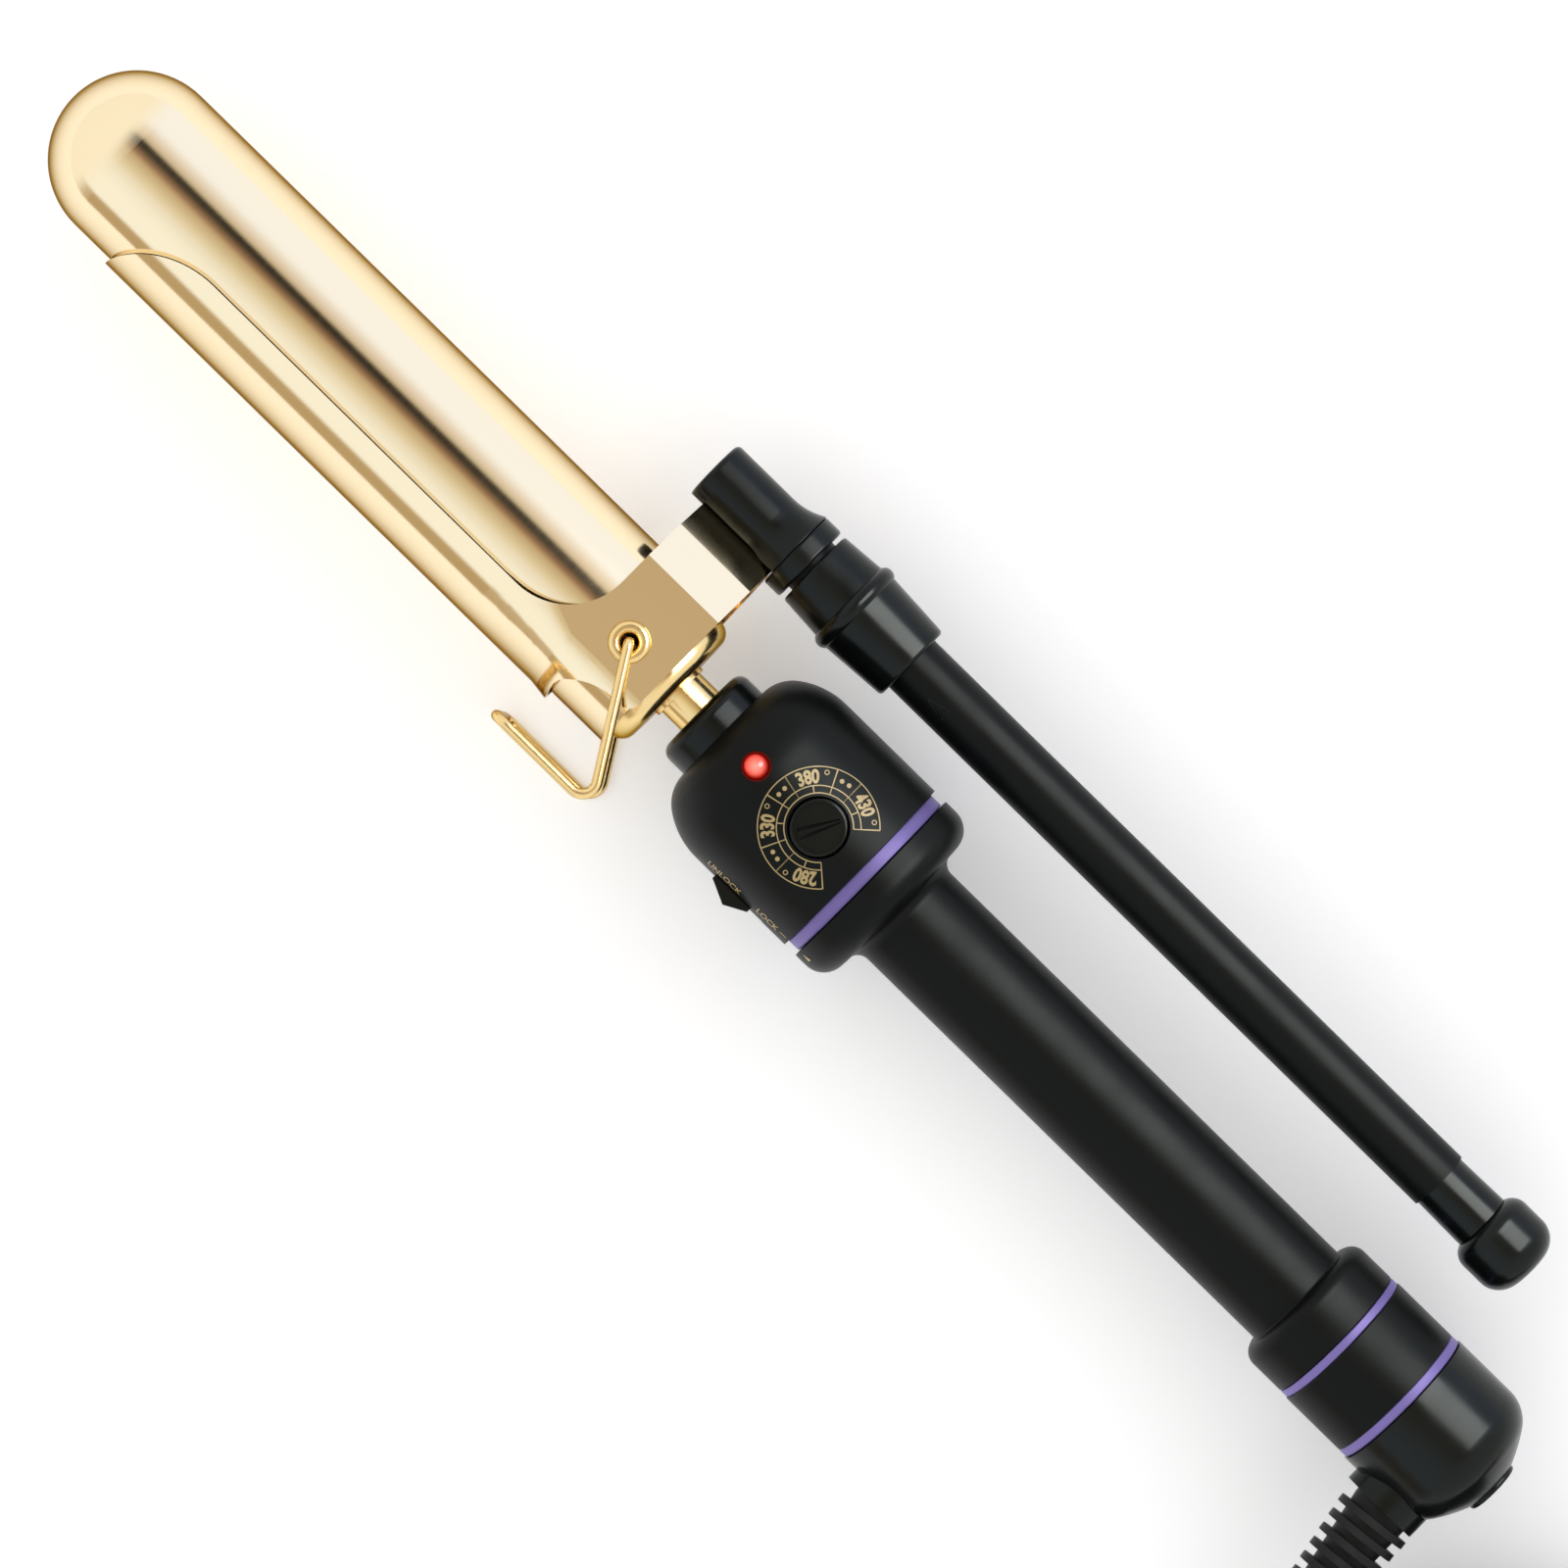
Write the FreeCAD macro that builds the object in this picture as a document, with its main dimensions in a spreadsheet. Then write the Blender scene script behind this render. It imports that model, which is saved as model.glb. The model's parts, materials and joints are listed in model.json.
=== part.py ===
import FreeCAD, Part
import math
import os
import Sketcher

# Curling iron with two spinning grips, a lever-operated clamp and a wire stand.
# Sizes are in millimetres. Every piece is drawn about the clamp's pivot:
# +X runs along the barrel to its tip, +Y points to the clamp, +Z is the pivot axis.
# Placements then lift the pieces so that the stand's lower leg rests on z = 0.

doc = FreeCAD.newDocument("CurlingIron")
sizes = doc.addObject("Spreadsheet::Sheet", "Sizes")
V = FreeCAD.Vector

SIZES = {
    # where the pivot stands in the finished frame
    "pivot_x": 37.7,
    "pivot_y": 7.58,
    "pivot_z": 20.2,
    "lever_y": -32.05,
    # barrel: a 1 1/4 inch tube
    "barrel_radius": 15.875,
    "barrel_wall": 1.0,
    "barrel_back": -8.0,
    "dome_start": 121.6,
    "base_cap_back": -11.4,
    "base_cap_radius": 13.8,
    "base_cap_round": 2.8,
    "base_plug_front": -3.8,
    "stem_radius": 4.75,
    "stem_bore": 3.6,
    "stem_back": -30.0,
    "stem_flange_radius": 5.6,
    "stem_flange_width": 0.8,
    # nose collar and housing
    "collar_front": -16.9,
    "collar_radius": 9.95,
    "collar_round": 2.2,
    "housing_front": -22.5,
    "housing_back": -56.2,
    "housing_radius": 18.9,
    "housing_wall": 2.2,
    "housing_cavity_front": -27.0,
    "housing_floor_radius": 11.45,
    "hole_cut_low": 10.0,
    "hole_cut_high": 22.0,
    "nose_small_round": 7.5,
    "nose_turn_x": -25.5,
    "nose_turn_radius": 15.95,
    "nose_large_round": 15.0,
    "nose_end": -34.5,
    "light_x": -30.8,
    "light_radius": 2.5,
    "light_hole_radius": 2.7,
    "light_length": 5.0,
    "light_flange_radius": 2.65,
    "light_flange_width": 1.0,
    "leg_radius": 0.25,
    "leg_offset": 1.27,
    "dial_x": -46.0,
    "dial_radius": 5.2,
    "dial_hole_radius": 5.5,
    "dial_top": 19.1,
    "dial_bottom": 15.4,
    "dial_edge_round": 0.6,
    "dial_rim_drop": 0.5,
    "dial_face_radius": 4.1,
    "dial_socket_depth": 1.5,
    "dial_ridge_height": 0.9,
    "dial_ridge_broad": 1.3,
    "dial_ridge_narrow": 0.5,
    "dial_crest_broad": 0.45,
    "dial_crest_narrow": 0.12,
    "dial_ridge_front": 3.9,
    "dial_ridge_back": -3.7,
    "dial_ridge_turn": 242.0,
    "board_top": 10.0,
    "board_wall": 1.6,
    "board_length": 23.9,
    "board_half_width": 7.8,
    "pot_half_width": 4.5,
    "pot_height": 3.8,
    "pot_floor": 1.0,
    "pot_shaft_radius": 1.5,
    "slot_cut_low": 14.0,
    "slot_front": -40.7,
    "slot_back": -50.6,
    "slot_half_width": 1.8,
    # lock slider and bar
    "thumb_front": -39.0,
    "thumb_back": -47.5,
    "thumb_peak_x": -43.5,
    "thumb_peak_y": 21.5,
    "thumb_width": 7.0,
    "thumb_step": 0.5,
    "thumb_sink": 1.5,
    "lock_neck_front": -41.2,
    "lock_neck_back": -45.2,
    "lock_bar_back": -58.2,
    "lock_bar_low": 12.6,
    "lock_bar_high": 14.9,
    "lock_bar_half_width": 1.5,
    "lock_neck_height": 5.5,
    "lock_gap": 0.4,
    # core tube and grip
    "ring_back": -58.75,
    "ring_radius": 17.9,
    "ring_inner_radius": 15.9,
    "core_flange_width": 3.0,
    "core_radius": 7.5,
    "core_bore": 6.1,
    "core_back": -177.0,
    "grip_front": -58.95,
    "grip_shoulder_x": -61.5,
    "grip_shoulder_round": 4.5,
    "grip_radius": 10.53,
    "grip_bore": 8.6,
    "grip_root_round": 2.5,
    "grip_straight_end": -163.5,
    "grip_flare_radius": 13.9,
    "grip_flare_root": 0.5,
    "grip_flare_edge": 2.8,
    "grip_back": -173.3,
    "notch_count": 12,
    "notch_depth": 6.0,
    "notch_half_width": 1.9,
    "bush_length": 12.0,
    "front_bush_x": -69.95,
    "rear_bush_x": -158.3,
    "running_gap": 0.05,
    "ring_edge": 0.3,
    # rings, collar and cap behind the grip
    "end_ring_front": -173.5,
    "rear_collar_front": -175.1,
    "rear_collar_radius": 14.1,
    "rear_collar_back": -188.0,
    "collar_lip": 2.5,
    "collar_wall": 2.0,
    "swivel_ring_back": -189.85,
    "swivel_ring_bore": 9.05,
    "cap_front": -190.0,
    "cap_radius": 14.4,
    "cap_straight_end": -202.5,
    "cap_side_round": 7.0,
    "cap_turn_x": -208.27,
    "cap_turn_radius": 11.37,
    "cap_end_round": 32.6,
    "cap_end_x": -211.6,
    "cap_wall": 2.0,
    "cap_lip": 2.5,
    "plug_front": -207.0,
    "plug_back": -212.4,
    "plug_radius": 5.2,
    "plug_edge": 0.5,
    "boss_x": -200.3,
    "boss_radius": 7.5,
    "boss_low": 9.0,
    "boss_top": 16.4,
    "post_radius": 6.0,
    "post_head_back": -185.2,
    "post_head_front": -182.7,
    "post_head_radius": 8.5,
    "post_pin_front": -179.2,
    "post_pin_radius": 4.0,
    "post_back": -194.0,
    "lip_hole_radius": 6.05,
    "slip_ring_radius": 4.6,
    "slip_ring_width": 1.2,
    "slip_ring_front": -179.4,
    "slip_ring_pitch": 1.8,
    "spring_inner": 4.75,
    "spring_outer": 5.15,
    "spring_low": -5.0,
    "spring_high": 10.9,
    "spring_width": 1.0,
    # inside the barrel and the handle
    "heater_radius": 8.5,
    "heater_bore": 2.5,
    "heater_front": 112.0,
    "heater_back": 14.0,
    "sleeve_radius": 9.3,
    "sleeve_front": 110.0,
    "sleeve_back": 16.0,
    "spacer_width": 2.5,
    "front_spacer_x": 106.0,
    "rear_spacer_x": 22.0,
    "sensor_back": 52.0,
    "sensor_front": 58.0,
    "sensor_radius": 1.6,
    "sensor_z": 13.25,
    "lead_radius": 0.9,
    "lead_offset": 1.3,
    "lead_back": -36.0,
    "power_wire_radius": 1.0,
    "power_wire_offset": 2.4,
    "power_wire_back": -176.5,
    "power_wire_front": -44.0,
    # cord
    "relief_tilt": 6.0,
    "relief_root_radius": 5.5,
    "relief_tip_radius": 3.3,
    "relief_length": 29.0,
    "relief_straight": 5.3,
    "relief_start_y": 11.4,
    "rib_first": 7.0,
    "rib_pitch": 3.0,
    "rib_width": 1.4,
    "rib_count": 7,
    "rib_first_radius": 7.05,
    "rib_last_radius": 5.6,
    "cord_radius": 3.0,
    "coil_x": -222.0,
    "coil_y": 49.3,
    "coil_outer_radius": 45.0,
    "coil_inner_radius": 21.0,
    "coil_height": 18.0,
    "tie_width": 10.0,
    "tie_wall": 1.5,
    "tie_slack": 0.65,
    "tie_turn": 330.0,
    "wall_plug_x": -257.8,
    "wall_plug_y": 10.5,
    "wall_plug_turn": 280.0,
    "wall_plug_length": 30.0,
    "wall_plug_width": 18.0,
    "wall_plug_height": 14.0,
    "plug_relief_length": 24.0,
    "blade_length": 16.0,
    "blade_spacing": 12.7,
    "blade_width": 6.3,
    "blade_wall": 1.5,
    # clamp
    "sheet_wall": 0.85,
    "clamp_outer_radius": 17.0,
    "clamp_edge_y": 6.4,
    "clamp_tip_x": 112.9,
    "clamp_tip_round": 20.4,
    "clamp_tip_length": 17.9,
    "clamp_tube_end": 24.0,
    "ear_front": 8.2,
    "ear_back": -8.7,
    "ear_front_round": 13.0,
    "ear_bend_y": -13.2,
    "crown_centre_y": 6.0,
    "crown_flare": 0.5,
    "lip_back": 4.3,
    "rear_corner_y": 5.6,
    "yoke_knee_y": -21.0,
    "yoke_knee_z": 11.0,
    "yoke_y": -26.35,
    "yoke_half_width": 3.2,
    "yoke_screw_radius": 1.5,
    "yoke_screw_hole": 1.6,
    "yoke_screw_head_radius": 2.2,
    "yoke_screw_head_height": 1.2,
    "rivet_radius": 2.4,
    "rivet_foot_radius": 3.1,
    "rivet_foot_low": 13.4,
    "rivet_foot_high": 14.4,
    "rivet_seat": 17.1,
    "rivet_head_height": 1.0,
    "rivet_head_radius": 3.8,
    "rivet_crest_radius": 2.8,
    "rivet_hole": 1.5,
    "rivet_roll": 1.0,
    # stand
    "wire_radius": 0.95,
    "wire_z": 19.25,
    "foot_back": -15.5,
    "foot_front": 7.6,
    "foot_y": 25.2,
    "wire_bend": 2.6,
    "wire_pin_bend": 1.1,
    "stand_pin_inner": 14.6,
    # lever
    "ferrule_front": 11.2,
    "ferrule_back": -8.9,
    "ferrule_radius": 6.2,
    "ferrule_edge": 1.0,
    "ferrule_flare_start": -2.5,
    "ferrule_flare_x": -8.7,
    "ferrule_flare_radius": 7.9,
    "ferrule_flare_round": 12.2,
    "lever_ring_back": -12.7,
    "lever_ring_radius": 7.85,
    "lever_ring_edge": 0.5,
    "front_bush_radius": 5.45,
    "lever_collar_front": -13.6,
    "lever_collar_back": -37.7,
    "collar_front_radius": 7.7,
    "collar_front_edge": 0.5,
    "collar_back_radius": 7.8,
    "collar_back_edge": 0.8,
    "collar_socket": 8.0,
    "bead_x": -23.5,
    "bead_half_width": 1.5,
    "bead_front_radius": 8.25,
    "bead_back_radius": 8.55,
    "bead_round": 1.75,
    "lever_radius": 5.75,
    "lever_bore": 4.5,
    "lever_tube_back": -167.5,
    "lever_neck_front_radius": 5.35,
    "lever_neck_back_radius": 5.55,
    "lever_neck_back": -178.0,
    "lever_knob_radius": 7.8,
    "lever_knob_front_round": 3.2,
    "lever_knob_back_round": 4.6,
    "lever_knob_floor": 2.0,
    "lever_knob_back": -190.0,
    "rear_bush_front": -161.5,
    "rod_radius": 2.5,
    "rod_front": 6.2,
    "rod_back": -184.5,
    "nut_corner_radius": 4.1,
    "nut_height": 3.0,
    "nut_back": -183.5,
}

for row, (word, number) in enumerate(SIZES.items(), start=1):
    sizes.set("A%d" % row, word)
    sizes.set("B%d" % row, str(number))
    sizes.setAlias("B%d" % row, word)
doc.recompute()


class Size:
    """A length that knows both its number and its expression in the sheet."""

    def __init__(self, text, number):
        self.text = text
        self.number = number

    def __add__(self, other):
        other = as_size(other)
        return Size("(%s + %s)" % (self.text, other.text), self.number + other.number)

    def __sub__(self, other):
        other = as_size(other)
        return Size("(%s - %s)" % (self.text, other.text), self.number - other.number)

    def __mul__(self, factor):
        factor = as_size(factor)
        return Size("(%s * %s)" % (self.text, factor.text), self.number * factor.number)

    def __neg__(self):
        return Size("(0 - %s)" % self.text, -self.number)


def as_size(value):
    if isinstance(value, Size):
        return value
    return Size("(%s)" % value, float(value))


def size(word):
    """The named sheet value, to be used in sketches and placements."""
    return Size("Sizes." + word, float(sizes.get(word)))


def number(word):
    """The named sheet value as a plain number."""
    return float(sizes.get(word))


def bind(thing, attribute, value):
    """Drive one property of a document object from the sheet."""
    value = as_size(value)
    thing.setExpression(attribute, value.text)


def at(thing, x=None, y=None):
    """Place a piece at sheet positions in the drawing frame."""
    if x is not None:
        bind(thing, "Placement.Base.x", x)
    if y is not None:
        bind(thing, "Placement.Base.y", y)
    return thing


def lift(thing):
    """Carry a finished piece from the drawing frame to the frame of the whole part."""
    driven = {path.lstrip("."): text for path, text in thing.ExpressionEngine}
    for axis in "xyz":
        path = "Placement.Base." + axis
        own = driven.get(path, "%f" % getattr(thing.Placement.Base, axis))
        thing.setExpression(path, "Sizes.pivot_%s + %s" % (axis, own))


# --- helpers for turned pieces ---------------------------------------------------------

def line_to(along, radius):
    return (as_size(along), as_size(radius), None, False)


def arc_to(along, radius, arc_radius, hollow=False):
    """An arc to the given point; hollow arcs have their centre away from the axis."""
    return (as_size(along), as_size(radius), as_size(arc_radius), hollow)


def arc_between(start, end, arc_radius, hollow, upright):
    """The arc's geometry, and whether it runs from end to start."""
    chord = end - start
    middle = (start + end) * 0.5
    rise = math.sqrt(max(arc_radius ** 2 - (chord.Length / 2) ** 2, 0.0))
    side = V(-chord.y, chord.x, 0).normalize() * rise

    def off_axis(centre):
        return centre.x if upright else centre.y

    inner, outer = sorted((middle + side, middle - side), key=off_axis)
    centre = outer if hollow else inner
    first = math.atan2(start.y - centre.y, start.x - centre.x)
    last = math.atan2(end.y - centre.y, end.x - centre.x)
    circle = Part.Circle(centre, V(0, 0, 1), arc_radius)
    sweep = (last - first) % (2 * math.pi)
    if sweep <= math.pi:
        return Part.ArcOfCircle(circle, first, first + sweep), False
    return Part.ArcOfCircle(circle, last, last + 2 * math.pi - sweep), True


def new_sketch(body, label, role):
    """A sketch on one of the body's own origin planes."""
    sketch = body.newObject("Sketcher::SketchObject", label + "_outline")
    plane = [item for item in body.Origin.OriginFeatures if item.Role == role][0]
    sketch.AttachmentSupport = [(plane, "")]
    sketch.MapMode = "FlatFace"
    return sketch


def constrain(sketch, constraint, value):
    """Add a dimension to the sketch and drive it from the sheet."""
    place = sketch.addConstraint(constraint)
    sketch.setExpression("Constraints[%d]" % place, value.text)


def turned(label, start, steps, upright=False):
    """A solid of revolution: its outline begins at start and closes itself with a line.

    Lengths run along X, or along Z when upright; radii are measured from that axis.
    """
    body = doc.addObject("PartDesign::Body", label)
    body.Label = label
    sketch = new_sketch(body, label, "XZ_Plane" if upright else "XY_Plane")
    words = ("DistanceY", "DistanceX") if upright else ("DistanceX", "DistanceY")
    ends = []
    along, radius = as_size(start[0]), as_size(start[1])
    for next_along, next_radius, arc_radius, hollow in steps + [line_to(*start)]:
        here = V(along.number, radius.number, 0)
        there = V(next_along.number, next_radius.number, 0)
        if upright:
            here = V(here.y, here.x, 0)
            there = V(there.y, there.x, 0)
        backwards = False
        if arc_radius is None:
            index = sketch.addGeometry(Part.LineSegment(here, there))
        else:
            arc, backwards = arc_between(here, there, arc_radius.number, hollow, upright)
            index = sketch.addGeometry(arc)
            constrain(sketch, Sketcher.Constraint("Radius", index, arc_radius.number), arc_radius)
        first, last = (2, 1) if backwards else (1, 2)
        for word, value in zip(words, (next_along, next_radius)):
            constrain(sketch, Sketcher.Constraint(word, -1, 1, index, last, value.number), value)
        ends.append((index, first, last))
        along, radius = next_along, next_radius
    for count, (index, first, _) in enumerate(ends):
        previous, _, previous_last = ends[count - 1]
        sketch.addConstraint(Sketcher.Constraint("Coincident", previous, previous_last, index, first))
    turn = body.newObject("PartDesign::Revolution", label + "_turned")
    turn.Profile = sketch
    turn.ReferenceAxis = (sketch, ["V_Axis" if upright else "H_Axis"])
    turn.Angle = 360
    sketch.Visibility = False
    return body


# --- helpers for primitives and booleans ------------------------------------------------

def box(label, low, high):
    """A box from its low corner to its high corner."""
    shape = doc.addObject("Part::Box", label)
    shape.Label = label
    for side, axis, start, end in zip(("Length", "Width", "Height"), "xyz", low, high):
        bind(shape, side, as_size(end) - as_size(start))
        bind(shape, "Placement.Base." + axis, start)
    return shape


def cylinder(label, radius, start, end, x=0, y=0, along="z"):
    """A cylinder from start to end along one axis; x and y place it across that axis."""
    shape = doc.addObject("Part::Cylinder", label)
    shape.Label = label
    bind(shape, "Radius", radius)
    bind(shape, "Height", as_size(end) - as_size(start))
    if along == "z":
        places = (x, y, start)
    elif along == "x":
        shape.Placement.Rotation = FreeCAD.Rotation(V(0, 1, 0), 90)
        places = (start, x, y)
    else:
        shape.Placement.Rotation = FreeCAD.Rotation(V(1, 0, 0), -90)
        places = (x, start, y)
    for axis, value in zip("xyz", places):
        bind(shape, "Placement.Base." + axis, value)
    return shape


def joined(label, *shapes):
    fuse = doc.addObject("Part::MultiFuse", label)
    fuse.Label = label
    fuse.Shapes = list(shapes)
    return fuse


def cut_from(label, base, *tools):
    tool = tools[0] if len(tools) == 1 else joined(label + "_tools", *tools)
    cut = doc.addObject("Part::Cut", label)
    cut.Label = label
    cut.Base = base
    cut.Tool = tool
    return cut


def common_of(label, first, second):
    common = doc.addObject("Part::Common", label)
    common.Label = label
    common.Base = first
    common.Tool = second
    return common


def group(label, *shapes):
    """Separate solids kept in one node."""
    compound = doc.addObject("Part::Compound", label)
    compound.Label = label
    compound.Links = list(shapes)
    return compound


def fixed_shape(label, shape):
    """A piece whose shape is made in code from the sheet's sizes."""
    feature = doc.addObject("Part::Feature", label)
    feature.Label = label
    feature.Shape = shape
    return feature


# --- barrel and stem ----------------------------------------------------------------------

def make_barrel():
    radius = size("barrel_radius")
    inner = radius - size("barrel_wall")
    dome = size("dome_start")
    blank = turned("barrel_blank", (size("barrel_back"), inner), [
        line_to(size("barrel_back"), radius),
        line_to(dome, radius),
        arc_to(dome + radius, 0, radius),
        line_to(dome + inner, 0),
        arc_to(dome, inner, inner),
    ])
    hole = cylinder("barrel_rivet_hole", size("rivet_radius"), -radius, radius)
    return cut_from("barrel", blank, hole)


def make_barrel_base_cap():
    back = size("base_cap_back")
    front = size("barrel_back")
    bore = size("stem_radius")
    rim = size("base_cap_radius")
    corner = size("base_cap_round")
    return turned("barrel_base_cap", (size("base_plug_front"), size("stem_bore")), [
        line_to(size("base_plug_front"), size("barrel_radius") - size("barrel_wall")),
        line_to(front, size("barrel_radius") - size("barrel_wall")),
        line_to(front, rim),
        line_to(back + corner, rim),
        arc_to(back, rim - corner, corner),
        line_to(back, bore),
        line_to(front, bore),
        line_to(front, size("stem_bore")),
    ])


def make_stem():
    front = size("barrel_back")
    flange_front = size("base_cap_back")
    return turned("stem", (front, size("stem_bore")), [
        line_to(front, size("stem_radius")),
        line_to(flange_front, size("stem_radius")),
        line_to(flange_front, size("stem_flange_radius")),
        line_to(flange_front - size("stem_flange_width"), size("stem_flange_radius")),
        line_to(flange_front - size("stem_flange_width"), size("stem_radius")),
        line_to(size("stem_back"), size("stem_radius")),
        line_to(size("stem_back"), size("stem_bore")),
    ])


# --- housing, dial, light and lock --------------------------------------------------------

def make_nose_collar():
    front = size("collar_front")
    radius = size("collar_radius")
    corner = size("collar_round")
    return turned("nose_collar", (front, size("stem_radius")), [
        line_to(front, radius - corner),
        arc_to(front - corner, radius, corner),
        line_to(size("housing_front"), radius),
        line_to(size("housing_front"), size("stem_radius")),
    ])


def make_housing():
    front = size("housing_front")
    back = size("housing_back")
    radius = size("housing_radius")
    inner = radius - size("housing_wall")
    nose_low = size("collar_radius")
    side_start = size("nose_end")
    cavity = size("housing_cavity_front")
    blank = turned("housing_blank", (front, size("stem_radius")), [
        line_to(front, nose_low),
        arc_to(size("nose_turn_x"), size("nose_turn_radius"), size("nose_small_round")),
        arc_to(side_start, radius, size("nose_large_round")),
        line_to(back, radius),
        line_to(back, inner),
        line_to(side_start, inner),
        line_to(cavity, size("housing_floor_radius")),
        line_to(cavity, size("stem_radius")),
    ])
    low = size("hole_cut_low")
    high = size("hole_cut_high")
    light = cylinder("light_hole", size("light_hole_radius"), low, high, x=size("light_x"))
    dial = cylinder("dial_hole", size("dial_hole_radius"), low, high, x=size("dial_x"))
    half = size("slot_half_width")
    slot = box("lock_slot", (size("slot_back"), size("slot_cut_low"), -half),
               (size("slot_front"), high, half))
    return cut_from("housing", blank, light, dial, slot)


def make_indicator_light():
    """A round light: rim, cylinder and a half-round dome."""
    radius = size("light_radius")
    dome = size("housing_radius") - radius
    bottom = dome - size("light_length")
    flange = bottom + size("light_flange_width")
    light = turned("indicator_light", (bottom, 0), [
        line_to(bottom, size("light_flange_radius")),
        line_to(flange, size("light_flange_radius")),
        line_to(flange, radius),
        line_to(dome, radius),
        arc_to(dome + radius, 0, radius),
    ], upright=True)
    return at(light, x=size("light_x"))


def make_indicator_legs():
    top = size("housing_radius") - size("light_radius") - size("light_length")
    legs = [cylinder("light_leg_%d" % side, size("leg_radius"), size("board_top"), top,
                     x=size("light_x"), y=size("leg_offset") * side) for side in (-1, 1)]
    return group("indicator_legs", *legs)


def make_dial_knob():
    """A disc with a raised face and a pointer that narrows towards the scale."""
    top = size("dial_top")
    rim = top - size("dial_rim_drop")
    radius = size("dial_radius")
    face = size("dial_face_radius")
    edge = size("dial_edge_round")
    shaft = size("pot_shaft_radius")
    socket = top - size("dial_socket_depth")
    disc = turned("dial_disc", (size("dial_bottom"), shaft), [
        line_to(size("dial_bottom"), radius),
        line_to(rim - edge, radius),
        arc_to(rim, radius - edge, edge),
        line_to(rim, face),
        line_to(top, face),
        line_to(top, 0),
        line_to(socket, 0),
        line_to(socket, shaft),
    ], upright=True)
    knob = joined("dial_knob", disc, make_dial_ridge())
    knob.Placement.Rotation = FreeCAD.Rotation(V(0, 0, 1), number("dial_ridge_turn"))
    return at(knob, x=size("dial_x"))


def make_dial_ridge():
    """The pointer: a sloped ridge that narrows in front, with its foot sunk in the face."""
    low = number("dial_top") - 0.5 * number("dial_rim_drop")
    high = number("dial_top") + number("dial_ridge_height")
    front = number("dial_ridge_front")
    back = number("dial_ridge_back")

    def outline(broad, narrow, z):
        corners = [V(back, -broad, z), V(front, -narrow, z), V(front, narrow, z),
                   V(back, broad, z)]
        return Part.makePolygon(corners + corners[:1])

    foot = outline(number("dial_ridge_broad"), number("dial_ridge_narrow"), low)
    crest = outline(number("dial_crest_broad"), number("dial_crest_narrow"), high)
    return fixed_shape("dial_ridge", Part.makeLoft([foot, crest], True, True))


def make_potentiometer():
    low = size("board_top")
    high = low + size("pot_height")
    half = size("pot_half_width")
    body = box("pot_body", (-half, -half, low), (half, half, high))
    hole = cylinder("pot_hole", size("pot_shaft_radius") + size("running_gap"),
                    low + size("pot_floor"), high)
    return at(cut_from("potentiometer", body, hole), x=size("dial_x"))


def make_potentiometer_shaft():
    low = size("board_top") + size("pot_floor") + size("running_gap")
    return cylinder("potentiometer_shaft", size("pot_shaft_radius"), low,
                    size("dial_top") - size("dial_socket_depth"), x=size("dial_x"))


def make_control_board():
    back = size("housing_back") + size("core_flange_width")
    half = size("board_half_width")
    top = size("board_top")
    return box("control_board", (back, -half, top - size("board_wall")),
               (back + size("board_length"), half, top))


def make_lock_slider():
    """A thumb wedge that rides on the housing, with a neck down to the lock bar."""
    half = number("thumb_width") / 2
    skin = number("housing_radius")
    low = skin - number("thumb_sink")
    step = skin + number("thumb_step")
    front = number("thumb_front")
    back = number("thumb_back")
    corners = [
        V(front, low, -half),
        V(front, step, -half),
        V(number("thumb_peak_x"), number("thumb_peak_y"), -half),
        V(back, step, -half),
        V(back, low, -half),
    ]
    side = Part.Face(Part.makePolygon(corners + corners[:1]))
    wedge = side.extrude(V(0, 0, 2 * half))
    clearance = Part.makeCylinder(skin + 2 * number("running_gap"), front - back,
                                  V(back, 0, 0), V(1, 0, 0))
    neck_half = number("lock_bar_half_width")
    neck = Part.makeBox(
        number("lock_neck_front") - number("lock_neck_back"), number("lock_neck_height"),
        2 * neck_half, V(number("lock_neck_back"), number("lock_bar_high"), -neck_half))
    return fixed_shape("lock_slider", wedge.cut(clearance).fuse(neck).removeSplitter())


def make_lock_bar():
    half = size("lock_bar_half_width")
    return box("lock_bar", (size("lock_bar_back"), size("lock_bar_low"), -half),
               (size("lock_neck_front"), size("lock_bar_high"), half))


# --- core tube, grip and rings ------------------------------------------------------------

def plain_ring(label, front, back, outer, inner, edge=None):
    """A ring with small rounded outer edges."""
    edge = edge or size("ring_edge")
    return turned(label, (front, inner), [
        line_to(front, outer - edge),
        arc_to(front - edge, outer, edge),
        line_to(back + edge, outer),
        arc_to(back, outer - edge, edge),
        line_to(back, inner),
    ])


def make_front_ring():
    return plain_ring("front_ring", size("housing_back"), size("ring_back"),
                      size("ring_radius"), size("ring_inner_radius"))


def make_core_tube():
    back = size("housing_back")
    front = back + size("core_flange_width")
    rim = size("housing_radius") - size("housing_wall")
    blank = turned("core_tube_blank", (front, size("core_bore")), [
        line_to(front, rim),
        line_to(back, rim),
        line_to(back, size("core_radius")),
        line_to(size("core_back"), size("core_radius")),
        line_to(size("core_back"), size("core_bore")),
    ])
    half = size("slot_half_width")
    gap = size("lock_gap")
    slot = box("core_slot", (back, size("lock_bar_low") - gap, -half),
               (front, size("lock_bar_high") + gap, half))
    return cut_from("core_tube", blank, slot)


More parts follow.
